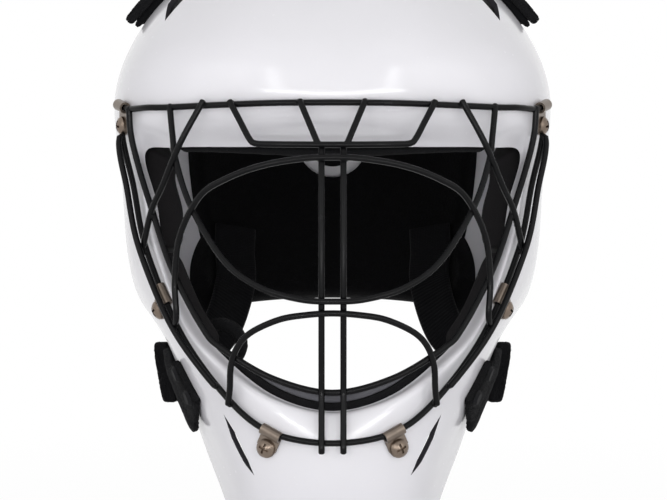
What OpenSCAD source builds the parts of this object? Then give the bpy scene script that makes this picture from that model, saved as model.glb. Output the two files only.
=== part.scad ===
// Floorball goalie helmet: a white mask shell with a black wire cage, foam pads,
// a hinged back plate and elastic straps. The face looks along -Y, up is +Z, and
// the origin is on the ground under the middle of the helmet.

/* [Mask shell] */
// Width of the mask over the temples
mask_w = 224; // [205:1:245]
// Height of the mask from the chin guard's foot to the crown
mask_h = 318; // [295:1:340]
// Depth of the helmet from the cage to the back plate
helmet_d = 282; // [265:1:300]
// Thickness of the mask's moulded wall
wall = 3; // [2.4:0.1:3.6]
// Width of a chin vent at its widest
chin_vent_w = 4.5; // [3:0.1:6]
// Width of a crown vent at its widest
crown_vent_w = 15; // [8:0.5:17]

/* [Back plate] */
// Thickness of the back plate's wall
plate_wall = 2.6; // [2:0.1:3.2]
// Thickness of the lining on the back plate
lining_t = 9; // [6:0.5:11]
// Radius of the round window in the lining
window_r = 19; // [14:0.5:24]

/* [Cage] */
// Diameter of the cage wire
wire_d = 3.2; // [2.8:0.1:3.6]
// How far the wires sink into each other where they are welded
weld_sink = 0.4; // [0.3:0.05:0.6]
// How far the cage stands forward of the mask's edge at eye level
bulge = 19; // [14:0.5:24]
// Distance between the two upright bars
bar_gap = 10.9; // [9:0.1:14]

/* [Clips and screws] */
// Thickness of the clips' sheet metal
clip_t = 1; // [0.8:0.1:1.4]
// Width of a clip along the wire
clip_w = 11; // [9:0.5:13]
// Thread diameter of the clip screws
screw_d = 5; // [4:0.5:5.5]
// Diameter of the screw heads
head_d = 9.6; // [8.5:0.1:10.5]
// Height of the screw heads
head_h = 3.4; // [2.8:0.1:4]
// Size of the nuts across the flats
nut_af = 8; // [7.5:0.1:9]

/* [Pads] */
// Depth of the brow pad under the mask's edge
brow_pad_t = 3; // [2:0.5:4]
// Thickness of the brow pad at its rear
brow_rear_t = 9; // [6:0.5:10]
// Depth of the sweatband under the brow pad
sweat_t = 5; // [4:0.5:6]
// Thickness of the temple pads at their top
temple_t = 21; // [16:0.5:23]
// Thickness of the cheek pads
cheek_t = 10; // [8:0.5:12]
// Thickness of the loop-fabric band inside the chin
chin_band_t = 5; // [3:0.5:6]
// Thickness of the chin foam on that band
chin_foam_t = 4.4; // [2:0.2:5]
// Thickness of the crown pad
crown_t = 9; // [6:0.5:10]

/* [Straps] */
// Width of the elastic straps
strap_w = 28; // [24:1:32]
// Thickness of one strap layer
strap_t = 3.4; // [2.6:0.1:4]
// Diameter of the strap rivets' heads
rivet_d = 9; // [8:0.5:11]

/* [Hidden] */
// Sizes at which the guide points are written
REF = [224, 282, 318];
// Small gap between pieces that lie on each other
SEAT = 0.3;
$fn = 24;

// Guide loops round the mask at ten stations, from the middle of the brow down the
// right side to the middle of the chin. The left side mirrors them.
// Edge of the face opening, set back behind the brow
LIP = [
    [0, -94, 207], [45, -90, 207], [80, -77.5, 207], [95.5, -63, 204.5], [90, -60, 180],
    [85, -66, 155], [71, -80, 121], [52, -96, 99], [28, -108, 81.5], [0, -112, 74.5]
];
// Front crest: the brow band's lower edge, the cheek's front edge and the chin's lip
CREST = [
    [0, -114, 227], [46, -107, 227], [85, -88, 226.5], [102, -69, 218], [97.5, -70, 187],
    [91, -78, 156], [75.5, -92, 116], [55.5, -105, 93.5], [30, -116, 76.5], [0, -119, 70]
];
// Front of the outer wall
FRONT = [
    [0, -106, 261], [50, -99, 263], [94, -72, 255], [111, -42, 233], [107.5, -36, 189],
    [102, -44, 147], [82, -62, 107], [63, -84, 74], [38.5, -109, 50], [0, -119, 42]
];
// Middle of the outer wall
MIDDLE = [
    [0, -52, 307], [47, -45, 302], [88, -20, 284], [112, 6, 243], [110, 12, 189],
    [104.5, 2, 139], [85, -24, 106], [62, -62, 55], [39, -100, 24], [0, -112, 20]
];
// Rear and lower edge of the mask
REAR = [
    [0, 24, 318], [42, 30, 311], [79, 44, 289], [106, 58, 246], [108, 60, 190],
    [103, 44, 132], [88, 4, 113], [61, -52, 43], [40, -92, 4.8], [0, -104, 0.75]
];
LOOPS = [LIP, CREST, FRONT, MIDDLE, REAR];
STATIONS = len(LIP) - 1;
TURN = 2 * STATIONS;
// Mesh steps between stations, round the mask and across its wall
ROUND_STEPS = 4;
ACROSS_STEPS = 3;

function unit(v) = v / norm(v);
function mid(a, b, t) = a + (b - a) * t;
function flip(p) = [-p.x, p.y, p.z];
// A guide point at the driving sizes
function sized(p) = [p.x * mask_w / REF.x, p.y * helmet_d / REF.y, p.z * mask_h / REF.z];
// Smooth curve between b and c, with a and d as their neighbours
function bend(a, b, c, d, t) = 0.5 * (2 * b + (c - a) * t
    + (2 * a - 5 * b + 4 * c - d) * t * t + (3 * b - a - 3 * c + d) * t * t * t);
// Point s along an open list of points, counted in points
function along(p, s) = let (
        last = len(p) - 1,
        i = min(max(floor(s), 0), last - 1),
        b = p[i],
        c = p[i + 1],
        a = i > 0 ? p[i - 1] : 2 * b - c,
        d = i < last - 1 ? p[i + 2] : 2 * c - b
    ) bend(a, b, c, d, s - i);
function smooth(p, steps) = [for (k = [0 : (len(p) - 1) * steps]) along(p, k / steps)];
// Station k of a guide loop, counted on round the mask
function station(loop, k) = let (m = (k % TURN + TURN) % TURN)
    m <= STATIONS ? loop[m] : flip(loop[TURN - m]);
function ring_at(loop, u) = let (i = floor(u))
    bend(station(loop, i - 1), station(loop, i), station(loop, i + 1), station(loop, i + 2), u - i);
// Mask surface: u is the station round the mask, v is the guide loop from 0 at the
// face opening to 4 at the rear edge
function mask_at(u, v) = sized(along([for (loop = LOOPS) ring_at(loop, u)], v));
EPS = 0.02;
function mask_out(u, v) = let (
        a = mask_at(u, max(v - EPS, 0)),
        b = mask_at(u, min(v + EPS, 4)),
        c = mask_at(u - EPS, v),
        d = mask_at(u + EPS, v)
    ) unit(cross(d - c, b - a));
// Point at a height over the mask's outer face; under it where the height is negative
function mask_off(u, v, h) = mask_at(u, v) + h * mask_out(u, v);

// Skin over rings of an even number of points, closed round or with flat-cut ends.
// Each ring runs along the outer side and back along the inner side.
module skin(rings, closed = false) {
    n = len(rings[0]);
    m = len(rings);
    half = n / 2;
    sides = [for (i = [0 : m - (closed ? 1 : 2)], j = [0 : n - 1]) let (
            a = i * n + j,
            b = i * n + (j + 1) % n,
            c = (i + 1) % m * n + (j + 1) % n,
            d = (i + 1) % m * n + j
        ) each [[a, c, b], [a, d, c]]];
    ends = closed ? [] : [for (j = [0 : half - 2]) let (
            a = j,
            b = j + 1,
            c = n - 2 - j,
            d = n - 1 - j,
            e = (m - 1) * n
        ) each [[a, b, c], [a, c, d], [e + a, e + c, e + b], [e + a, e + d, e + c]]];
    polyhedron(points = [for (r = rings) each r], faces = concat(sides, ends), convexity = 10);
}

// Directions along a path, and a side direction carried along it without twist
function headings(p) = let (last = len(p) - 1)
    [for (i = [0 : last]) unit(p[min(i + 1, last)] - p[max(i - 1, 0)])];
function square_to(v, t) = unit(v - (v * t) * t);
function carried(t, start) = [for (i = 0, s = square_to(start, t[0]); i < len(t);
    i = i + 1, s = i < len(t) ? square_to(s, t[i]) : s) s];
WIRE_SIDES = 8;
module wire(path, start = [0, -1, 0.01]) {
    t = headings(path);
    s = carried(t, start);
    // Radius of the eight-sided tube whose section is as large as the round wire's
    r = wire_d / 2 * sqrt(PI / (WIRE_SIDES / 2 * sin(360 / WIRE_SIDES)));
    color("#1b1a1d") skin([for (i = [0 : len(path) - 1]) let (c = cross(t[i], s[i]))
        [for (k = [0 : WIRE_SIDES - 1]) let (a = 360 * (k + 0.5) / WIRE_SIDES)
            path[i] + r * (cos(a) * s[i] + sin(a) * c)]]);
}

// Mask shell
COLUMNS = TURN * ROUND_STEPS;
ROWS = 4 * ACROSS_STEPS;
// Share of the wall's thickness on the rows that fold back at the front crest
CREST_WALL = [1, 0.65, 0.4, 0.4, 0.8];
function mask_ring(u) = concat(
    [for (k = [0 : ROWS]) mask_at(u, k / ACROSS_STEPS)],
    [for (k = [ROWS : -1 : 0]) mask_off(u, k / ACROSS_STEPS, -wall * (k < len(CREST_WALL) ? CREST_WALL[k] : 1))]);
// Turns its children so that Z points out of the mask at a place on it, and Y runs
// from the place towards the rear edge
module on_mask(u, v, h = 0) {
    z = mask_out(u, v);
    y = square_to(mask_at(u, min(v + EPS, 4)) - mask_at(u, max(v - EPS, 0)), z);
    x = cross(y, z);
    p = mask_off(u, v, h);
    multmatrix([[x.x, y.x, z.x, p.x], [x.y, y.y, z.y, p.y], [x.z, y.z, z.z, p.z]]) children();
}
// Vents: the places of their two ends on the mask
CROWN_VENT = [[1.8, 2.42], [1.42, 3.3]];
CHIN_VENT = [[7.3, 1.72], [8, 2.3]];
module vent_hole(ends, width, side) mirror([side < 0 ? 1 : 0, 0, 0]) {
    a = mask_at(ends[0].x, ends[0].y);
    b = mask_at(ends[1].x, ends[1].y);
    z = mask_out(mid(ends[0].x, ends[1].x, 0.5), mid(ends[0].y, ends[1].y, 0.5));
    y = square_to(b - a, z);
    x = cross(y, z);
    p = mid(a, b, 0.5);
    half = norm(b - a) / 2;
    multmatrix([[x.x, y.x, z.x, p.x], [x.y, y.y, z.y, p.y], [x.z, y.z, z.z, p.z]])
        linear_extrude(8 * wall, center = true)
        polygon([[0, -half], [width / 2, -half * 0.3], [width * 0.4, half * 0.5], [0, half],
            [-width * 0.4, half * 0.5], [-width / 2, -half * 0.3]]);
}
module mask_shell() color("#f2f2f4") difference() {
    skin([for (i = [0 : COLUMNS - 1]) mask_ring(-i / ROUND_STEPS)], closed = true);
    for (side = [-1, 1]) {
        vent_hole(CROWN_VENT, crown_vent_w, side);
        vent_hole(CHIN_VENT, chin_vent_w, side);
    }
    for (c = CLIPS, side = [-1, 1])
        on_mask(side * c.x, c.y) cylinder(d = screw_d + 0.8, h = 6 * wall, center = true);
    for (q = concat([TOP_RIVET], JAW_RIVETS), side = [-1, 1]) rivet_hole(mask_frame(q), side);
}

// Cage. Its wires lie on one curved sheet that follows the mask's front crest and
// bulges forward at eye level; a layer is one welded wire in front of the last.
LAYER = wire_d - weld_sink;
CREST_OFF = 3.2;
function sheet_y(x, z) = let (
        e = x / REF.x * 2.24,
        k = (z - 155) / 72,
        h = 1 - k * k
    ) -115.5 + 44 * pow(abs(e), 2.4) - CREST_OFF - bulge * max(0, h) * max(0, 1 - e * e);
// A cage point: sideways place, height and layer at the reference sizes
function cage_at(q) = sized([q.x, sheet_y(q.x, q.y), q.y]) - [0, q.z * LAYER, 0];
function cage_path(p, steps) = [for (q = smooth(p, steps)) cage_at(q)];
// Smooth half of a wire that ends square on the middle of the helmet, and its mirror
function to_middle(p, steps) = let (whole = concat(p, [flip(p[len(p) - 2])]))
    [for (k = [0 : (len(p) - 1) * steps]) along(whole, k / steps)];
function mirrored(p) = concat(p, [for (i = [len(p) - 2 : -1 : 0]) flip(p[i])]);
function across(p, steps) = mirrored([for (q = to_middle(p, steps)) cage_at(q)]);
// Height of the wire's middle over the mask where a clip holds it
HELD = wire_d / 2 + clip_t + SEAT;
// Where the rim wire lies between the crest and the outer wall, from station 3 on
RIM_V = [1.28, 1.12, 1.1, 1, 1.26, 1.44, 1.45];
function rim_at(u, h = HELD) = mask_off(u, along(RIM_V, u - 3), h);

// Rear end of the top bar: stations on the mask's temple
TOP_BAR_REAR = [[2.66, 1.2], [2.74, 1.29], [2.81, 1.38], [2.88, 1.52]];
// Half of each wire that crosses the face: sideways place, height, layer
TOP_BAR = [[0, 228.6, 0], [30, 228.4, 0], [60, 227.6, 0], [84, 226.9, 0.8], [94, 227, 1.5]];
INNER_WIRE = [
    [103.5, 226.6, 1], [102.3, 213, 0.4], [98, 196, 0], [91.5, 176, 0], [81, 146, 0],
    [65, 116, 0], [55.5, 106, 0], [30, 91, 0], [0, 83.8, 0]
];
LOWER_EYE = [
    [82, 227.3, 1], [80.5, 213, 1], [78.5, 199, 1], [70.5, 176, 1], [53.8, 149.5, 1],
    [36.3, 136.5, 1], [16.5, 130.6, 1], [0, 129.5, 1]
];
UPPER_EYE = [
    [78.4, 122, 1], [79.2, 140, 1.1], [76.5, 162, 1.6], [66.5, 181.5, 2], [54, 190, 1.7],
    [36.3, 196.6, 1.2], [16, 200.2, 1], [0, 201, 1]
];
MOUTH = [
    [51.3, 86, 1], [50.7, 97, 1], [47.2, 107, 1], [40.2, 114.2, 1], [26.6, 120.4, 1],
    [13.8, 122.7, 1], [0, 123.6, 1]
];
BROW_BAR = [
    [51.5, 229.4, 1], [46, 219, 1], [41.5, 210.6, 1], [38.5, 208.1, 1], [30, 207.6, 1],
    [15, 207.4, 1], [0, 207.3, 1]
];
BRACE = [[65, 229.6, 1], [76.5, 208.5, 1.95], [85.5, 187.5, 1.6], [91.5, 174.5, 1.2]];
STRUT = [[16.3, 229.4, 1], [7.6, 208.6, 1]];
RIM_START = 3.27;
// Each outer wire: station on the rim wire, and layers that it stands off
OUTER_WIRE = [
    [3.3, 1], [3.42, 1.7], [3.72, 2.3], [4.3, 2.7], [5, 2.6], [5.8, 2.1], [6.5, 1.4], [7.05, 1]
];
// Steps between the points of a wire
FINE = 3;
COARSE = 3;

function rim_path(a, b, steps, h = 0) = [for (i = [0 : steps]) rim_at(mid(a, b, i / steps), HELD + h)];
module top_bar() {
    front = cage_path(TOP_BAR, COARSE);
    rear = [for (k = [0 : len(TOP_BAR_REAR) - 1]) bar_rear(k)];
    bent = smooth([front[len(front) - 2], front[len(front) - 1], each rear], COARSE);
    half = concat([for (i = [0 : len(front) - 3]) front[i]], bent);
    wire(mirrored([for (i = [len(half) - 1 : -1 : 0]) half[i]]));
}
module inner_frame_wire() wire(across(INNER_WIRE, FINE));
module rim_wire() {
    half = rim_path(RIM_START, STATIONS, 26);
    wire(mirrored(half));
}
// The arches end on the rim wire, one layer out from it
UPPER_EYE_END = 5.98;
MOUTH_END = 7.41;
BRACE_END = 5.02;
module upper_eye_arch() wire(mirrored(to_middle(
    concat([rim_at(UPPER_EYE_END, HELD + LAYER)], [for (q = UPPER_EYE) cage_at(q)]), FINE)));
module lower_eye_arc() wire(across(LOWER_EYE, FINE));
module mouth_arch() wire(mirrored(to_middle(
    concat([rim_at(MOUTH_END, HELD + LAYER)], [for (q = MOUTH) cage_at(q)]), FINE)));
module brow_bar() wire(across(BROW_BAR, FINE));
module brace(side) wire([for (p = smooth(concat([for (q = BRACE) cage_at(q)],
    [rim_at(BRACE_END, HELD + LAYER)]), FINE)) [side * p.x, p.y, p.z]]);
module strut(side) wire([for (p = cage_path(STRUT, 2)) [side * p.x, p.y, p.z]]);
// The outer wires stand off half outwards and half forwards
function stand_off(u) = unit(mask_out(u, 1) + [0, -1, 0]);
module outer_wire(side) wire([for (q = smooth(OUTER_WIRE, COARSE))
    let (p = rim_at(q.x) + q.y * LAYER * stand_off(q.x)) [side * p.x, p.y, p.z]]);
// Upright bars run behind the eye and mouth wires and in front of the frame and rim
module upright_bar(side) {
    x = bar_gap / 2;
    top = [for (z = [206.6, 190, 170, 150, 130, 112]) cage_at([x, z, 0])];
    frame = cage_at([x, 84, 1]);
    rim = rim_at(STATIONS, HELD + LAYER);
    foot = [x, rim.y + 0.3, rim.z - 1.4 * wire_d];
    path = smooth([each top, cage_at([x, 97, 0.6]), frame, [x, rim.y, rim.z], foot], COARSE);
    wire([for (p = path) [side * p.x, p.y, p.z]]);
}

// Clips. Each is named by the screw's place on the mask and the station of the wire
// under its sleeve.
CLIPS = [[3.17, 1.34, 0], [5.62, 1.6, 5.5], [8.12, 1.72, 7.98]];
TEMPLE = 0;
CHEEK = 1;
CHIN = 2;
function bar_rear(k) = mask_off(TOP_BAR_REAR[k].x, TOP_BAR_REAR[k].y, HELD);
function clip_wire(i) = i == TEMPLE ? bar_rear(2) : rim_at(CLIPS[i][2]);
function clip_along(i) = i == TEMPLE ? bar_rear(3) - bar_rear(1)
    : rim_at(CLIPS[i][2] + EPS) - rim_at(CLIPS[i][2] - EPS);
// Frame of a clip: its middle on the mask under the screw, Z out, X along the wire
function clip_frame(i) = let (
        lift = 1.6 * SEAT,
        c = CLIPS[i],
        z = mask_out(c.x, c.y),
        x = square_to(clip_along(i), z)
    ) [mask_off(c.x, c.y, lift), x, cross(z, x), z];
module at_frame(f, side = 1) mirror([side < 0 ? 1 : 0, 0, 0]) multmatrix([
    [f[1].x, f[2].x, f[3].x, f[0].x], [f[1].y, f[2].y, f[3].y, f[0].y],
    [f[1].z, f[2].z, f[3].z, f[0].z]]) children();
module clip(i, side) {
    f = clip_frame(i);
    w = clip_wire(i) - f[0];
    y = w * f[2];
    z = w * f[3];
    bore = wire_d / 2 + 0.3;
    tab = screw_d / 2 + 2.6;
    color("#8d8577") at_frame(f, side) difference() {
        union() {
            translate([-clip_w / 2, y, z]) rotate([0, 90, 0]) cylinder(r = bore + clip_t, h = clip_w);
            translate([-clip_w / 2, min(y, 0), 0]) cube([clip_w, abs(y), clip_t]);
            cylinder(r = tab, h = clip_t);
        }
        translate([-clip_w, y, z]) rotate([0, 90, 0]) cylinder(r = bore, h = 2 * clip_w);
        translate([0, 0, -1]) cylinder(d = screw_d + 0.4, h = clip_t + 2);
    }
}
module clip_screw(i, side) at_frame(clip_frame(i), side) difference() {
    union() {
        translate([0, 0, clip_t + 0.02]) intersection() {
            cylinder(d = head_d, h = head_h);
            translate([0, 0, head_h - head_d * 0.62]) sphere(d = head_d * 1.24);
        }
        translate([0, 0, -wall - SEAT - nut_h() - 1.5]) cylinder(d = screw_d, h = wall + SEAT + nut_h() + 2.5 + clip_t);
    }
    // Cross recess
    for (a = [0, 90]) rotate(a) translate([-head_d * 0.28, -head_d * 0.06, clip_t + head_h * 0.45])
        cube([head_d * 0.56, head_d * 0.12, head_h]);
}
function nut_h() = screw_d * 0.8;
module clip_screws() color("#9a9284") for (i = [TEMPLE, CHEEK, CHIN], side = [-1, 1]) clip_screw(i, side);
module clip_nuts() color("#a9a9ad") for (i = [TEMPLE, CHEEK, CHIN], side = [-1, 1])
    at_frame(clip_frame(i), side) translate([0, 0, -wall - 3 * SEAT - nut_h()]) difference() {
        cylinder(d = nut_af / cos(30), h = nut_h(), $fn = 6);
        translate([0, 0, -1]) cylinder(d = screw_d + 0.06, h = nut_h() + 2);
    }

// Back plate: rows from its top edge to its foot, each with its middle and its side
PLATE_ROWS = [
    [[0, 35.6, 316], [73, 58.5, 285]], [[0, 74, 307], [88, 60, 260]], [[0, 110, 283], [95, 64, 233]],
    [[0, 131, 246], [97, 66, 206]], [[0, 139.8, 205], [95, 67, 178]],
    [[0, 133, 168], [88, 70, 150]], [[0, 121.5, 128], [73, 81, 115]]
];
// Columns on each side of the middle, and steps between the rows
PLATE_COLUMNS = 11;
PLATE_STEPS = 2;
function plate_at(a, t) = let (
        m = along([for (r = PLATE_ROWS) r[0]], t),
        s = along([for (r = PLATE_ROWS) r[1]], t),
        c = pow(max(cos(a), 0), 0.8)
    ) sized([s.x * sin(a), mid(s.y, m.y, c), mid(s.z, m.z, c)]);
function plate_out(a, t) = let (
        top = len(PLATE_ROWS) - 1,
        p = plate_at(max(a - 0.5, -90), t),
        q = plate_at(min(a + 0.5, 90), t),
        r = plate_at(a, max(t - EPS, 0)),
        s = plate_at(a, min(t + EPS, top))
    ) unit(cross(r - s, q - p));
function plate_off(a, t, h) = plate_at(a, t) + h * plate_out(a, t);
PLATE_FOOT = len(PLATE_ROWS) - 1;
function plate_ring(a, rows, h0, h1) = let (n = len(rows) - 1) concat(
    [for (k = [0 : n]) plate_off(a, rows[k], h0)], [for (k = [n : -1 : 0]) plate_off(a, rows[k], h1)]);
// Height of the plug and the window over the ground
WINDOW_Z = 214;
LINING_OUT = -plate_wall - SEAT;
LINING_IN = LINING_OUT - lining_t;
// The plate ends a little above the foot of its lining
PLATE_END = PLATE_FOOT - 0.2;
module back_plate() color("#f0f0f2") difference() {
    skin([for (i = [PLATE_COLUMNS : -1 : -PLATE_COLUMNS]) plate_ring(i / PLATE_COLUMNS * 90,
        [for (k = [0 : PLATE_FOOT * PLATE_STEPS - 1]) k / PLATE_STEPS, PLATE_END], 0, -plate_wall)]);
    for (side = [-1, 1]) rivet_hole(plate_frame(PLATE_RIVET), side);
}
module window_bore(r) translate([0, 0, WINDOW_Z * mask_h / REF.z]) rotate([-90, 0, 0]) cylinder(r = r, h = helmet_d);
LINING_COLUMNS = 7;
LINING_ROWS = [for (k = [3 : PLATE_FOOT * PLATE_STEPS]) k / PLATE_STEPS];
// The lining keeps to the plate's own columns, and widens at its foot
function lining_angle(t) = t > 5 ? 80 : 90 * LINING_COLUMNS / PLATE_COLUMNS;
function lining_ring(f) = let (n = len(LINING_ROWS) - 1) concat(
    [for (k = [0 : n]) let (t = LINING_ROWS[k]) plate_off(f * lining_angle(t), t, LINING_OUT)],
    [for (k = [n : -1 : 0]) let (t = LINING_ROWS[k]) plate_off(f * lining_angle(t), t, LINING_IN)]);
module back_lining() color("#141415") difference() {
    skin([for (i = [LINING_COLUMNS : -1 : -LINING_COLUMNS]) lining_ring(i / LINING_COLUMNS)]);
    window_bore(window_r);
}
PLUG_R = 13;
// Radius of the plate's tightest bend behind the plug
PLATE_BEND = 34;
PLUG_T = 4;
module lining_plug() {
    // The plug's flat face stands on the chord of the plate's inner wall
    seat_y = plate_off(0, 3.75, -plate_wall).y - PLUG_R * PLUG_R / (2 * PLATE_BEND) - SEAT;
    color("#101011") translate([0, seat_y, WINDOW_Z * mask_h / REF.z]) rotate([90, 0, 0]) union() {
        cylinder(r = PLUG_R, h = PLUG_T);
        translate([0, 0, PLUG_T - 0.01]) cylinder(r1 = PLUG_R, r2 = PLUG_R * 0.7, h = 1.5);
    }
}

// Pads. A pad's outer side runs from just behind the face opening's edge to the
// mask's inner wall at loop v; its inner side stands t inwards of that.
HEAD_MID = [0, 0, 155];
function inwards(p) = let (d = sized(HEAD_MID) - p) unit([d.x, 0, d.z]);
PAD_ROUND = 3;
function pad_ring(u, v, t_front, t_rear) = let (
        a = mask_off(u, 0, -wall) + [0, SEAT, 0] + SEAT * inwards(mask_at(u, 0)),
        b = mask_off(u, v, -wall - SEAT),
        i = inwards(a),
        j = inwards(b),
        n = 6
    ) concat(
        [for (k = [0 : n]) mid(a, b, k / n)],
        [for (k = [n : -1 : 0]) let (
                f = k / n,
                edge = 1 - 0.22 * pow(abs(2 * f - 1), 6),
                crown = 1 + 0.06 * sin(180 * f)
            ) mid(a, b, f) + mid(i, j, f) * mid(t_front, t_rear, f) * edge * crown]);
// How full a pad is along its length, drawn in at both ends
function fullness(f) = 1 - 0.3 * pow(abs(2 * f - 1), 8);
module pad(u0, u1, v, t0, t1, t_rear, steps, shade) color(shade)
    skin([for (i = [0 : steps]) let (f = i / steps)
        pad_ring(mid(u1, u0, f), v, mid(t1, t0, f) * fullness(f), t_rear * fullness(f))]);
module side_pad(side, u0, u1, v, t0, t1, t_rear, steps) mirror([side < 0 ? 1 : 0, 0, 0])
    pad(u0, u1, v, t0, t1, t_rear, steps, "#3c3b3f");
// Stations where the pads meet
BROW_END = 2.8;
CHEEK_TOP = 4.92;
CHEEK_END = 6.55;
// The brow pad's section: up the wall to loop 2.2, and a lower face that runs back
BROW_LOOP = 2.2;
BROW_BACK = [0, 14, 2.6];
function brow_ring(u, full) = let (
        a = mask_off(u, 0, -wall) + [0, SEAT, 0] + SEAT * inwards(mask_at(u, 0)),
        b = mask_off(u, BROW_LOOP, -wall - 2 * SEAT),
        low = a + inwards(a) * brow_pad_t * 0.78 * full,
        corner = low + BROW_BACK * full,
        high = b - mask_out(u, BROW_LOOP) * brow_rear_t * full
    ) concat(
        [for (k = [0 : 5]) mid(a, b, k / 5)],
        [high, mid(high, corner, 0.4), mid(high, corner, 0.8), corner, mid(corner, low, 0.5), low]);
module brow_pad() color("#3c3b3f") skin([for (i = [0 : 28]) let (f = i / 28)
    brow_ring(mid(BROW_END, -BROW_END, f), fullness(f))]);
SWEAT_END = 1.86;
SWEAT_BACK = [0, 16, 3];
function sweat_ring(u) = let (
        a = mask_off(u, 0, -wall) + [0, SEAT, 0] + SEAT * inwards(mask_at(u, 0)),
        i = inwards(a),
        top = a + [0, 0.5, 0] + i * (brow_pad_t * 0.78 + SEAT),
        back = SWEAT_BACK,
        n = 4
    ) concat([for (k = [0 : n]) top + back * k / n],
        [for (k = [n : -1 : 0]) top + back * k / n + i * sweat_t * (1 - 0.25 * pow(abs(2 * k / n - 1), 4))]);
module sweatband() color("#17171a") skin([for (i = [0 : 24]) sweat_ring(mid(SWEAT_END, -SWEAT_END, i / 24))]);
// The crown pad keeps to the mask's mesh lines and ends in front of the way that the
// plate's top edge swings
CROWN_STEPS = 9;
function crown_ring(u) = concat(
    [for (k = [8 : 10]) mask_off(u, k / ACROSS_STEPS, -wall - SEAT)],
    [for (k = [10 : -1 : 8]) mask_off(u, k / ACROSS_STEPS, -wall - SEAT - crown_t * (k == 9 ? 1 : 0.75))]);
module crown_pad() color("#2b2b2e") skin([for (i = [CROWN_STEPS : -1 : -CROWN_STEPS]) crown_ring(i / ROUND_STEPS)]);
module temple_pad(side) side_pad(side, BROW_END + 0.12, CHEEK_TOP, 3, temple_t, temple_t * 0.64, temple_t * 0.8, 10);
module cheek_pad(side) side_pad(side, CHEEK_TOP + 0.06, CHEEK_END, 2.6, cheek_t, cheek_t * 0.9, cheek_t, 10);
// Bands inside the chin, one on the other
function chin_ring(u, h0, h1, depth) = let (
        a = mask_off(u, 0, -wall) + [0, SEAT, 0],
        i = inwards(a),
        n = 3
    ) concat([for (k = [0 : n]) a + i * h0 + [0, depth * k / n, 0]],
        [for (k = [n : -1 : 0]) a + i * h1 + [0, depth * k / n, 0]]);
CHIN_DEPTH = 17;
module chin_layer(u0, h0, h1, shade) color(shade) skin([for (i = [0 : 24])
    chin_ring(mid(TURN - u0, u0, i / 24), h0, h1, CHIN_DEPTH)]);
module chin_band() chin_layer(CHEEK_END + 0.15, SEAT, SEAT + chin_band_t, "#101011");
module chin_foam() chin_layer(CHEEK_END + 0.6, 2 * SEAT + chin_band_t, 2 * SEAT + chin_band_t + chin_foam_t, "#6c6b72");

// Straps. A ribbon follows a path; out gives the direction that its face looks.
module ribbon(path, out, width, t, shade) {
    h = headings(path);
    color(shade) skin([for (i = [0 : len(path) - 1]) let (
            n = square_to(out[i], h[i]),
            s = cross(h[i], n) * width / 2,
            k = n * t / 2
        ) [path[i] - s + k, path[i] + k, path[i] + s + k, path[i] + s - k, path[i] - k, path[i] - s - k]]);
}
// Rivets: their places on the mask and on the back plate
TOP_U = 2.14;
TOP_A = 72;
TOP_RIVET = [TOP_U, 3.78];
JAW_RIVETS = [[6.36, 2.12], [6.7, 2.12]];
PLATE_RIVET = [TOP_A, 0.95];
function mask_frame(q) = [mask_at(q.x, q.y), mask_out(q.x, q.y)];
function plate_frame(q) = [plate_at(q.x, q.y), plate_out(q.x, q.y)];
module facing(f, side = 1) mirror([side < 0 ? 1 : 0, 0, 0]) {
    z = f[1];
    x = square_to([0, 1, 0], z);
    y = cross(z, x);
    multmatrix([[x.x, y.x, z.x, f[0].x], [x.y, y.y, z.y, f[0].y], [x.z, y.z, z.z, f[0].z]]) children();
}
RIVET_SHANK = 4;
RIVET_HEAD = 1.6;
module rivet_hole(f, side) facing(f, side)
    cylinder(d = RIVET_SHANK + 0.6, h = 6 * wall, center = true);
// A rivet from its head on the strap to its upset end inside a wall
module rivet(f, side, inside) color("#2a2a2c") facing(f, side) {
    top = SEAT + strap_t + 0.4;
    translate([0, 0, top]) cylinder(d1 = rivet_d, d2 = rivet_d * 0.7, h = RIVET_HEAD);
    translate([0, 0, -inside - 1]) cylinder(d = RIVET_SHANK, h = top + inside + 1.5);
    translate([0, 0, -inside - 1.7]) cylinder(d = rivet_d * 0.75, h = 1);
}

// Top straps: from the mask's rear corner onto the back plate
TOP_VS = [3.06, 3.3, 3.6, 3.92];
TOP_TS = [0.42, 0.8, 1.2];
function top_path() = smooth(concat(
    [for (v = TOP_VS) mask_off(TOP_U, v, SEAT + strap_t / 2)],
    [for (t = TOP_TS) plate_off(TOP_A, t, SEAT + strap_t / 2)]), 2);
function top_out() = smooth(concat(
    [for (v = TOP_VS) mask_out(TOP_U, v)], [for (t = TOP_TS) plate_out(TOP_A, t)]), 2);
module top_strap(side) difference() {
    mirror([side < 0 ? 1 : 0, 0, 0]) ribbon(top_path(), top_out(), strap_w, strap_t, "#161617");
    rivet_hole(mask_frame(TOP_RIVET), side);
    rivet_hole(plate_frame(PLATE_RIVET), side);
}
TAB_VS = [3.03, 3.14, 3.26, 3.38, 3.5];
module top_tab(side) mirror([side < 0 ? 1 : 0, 0, 0]) ribbon(
    [for (v = TAB_VS) mask_off(TOP_U, v, 2 * SEAT + strap_t * 1.75)],
    [for (v = TAB_VS) mask_out(TOP_U, v)], strap_w + 1, strap_t * 1.5, "#1d1d1f");

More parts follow.
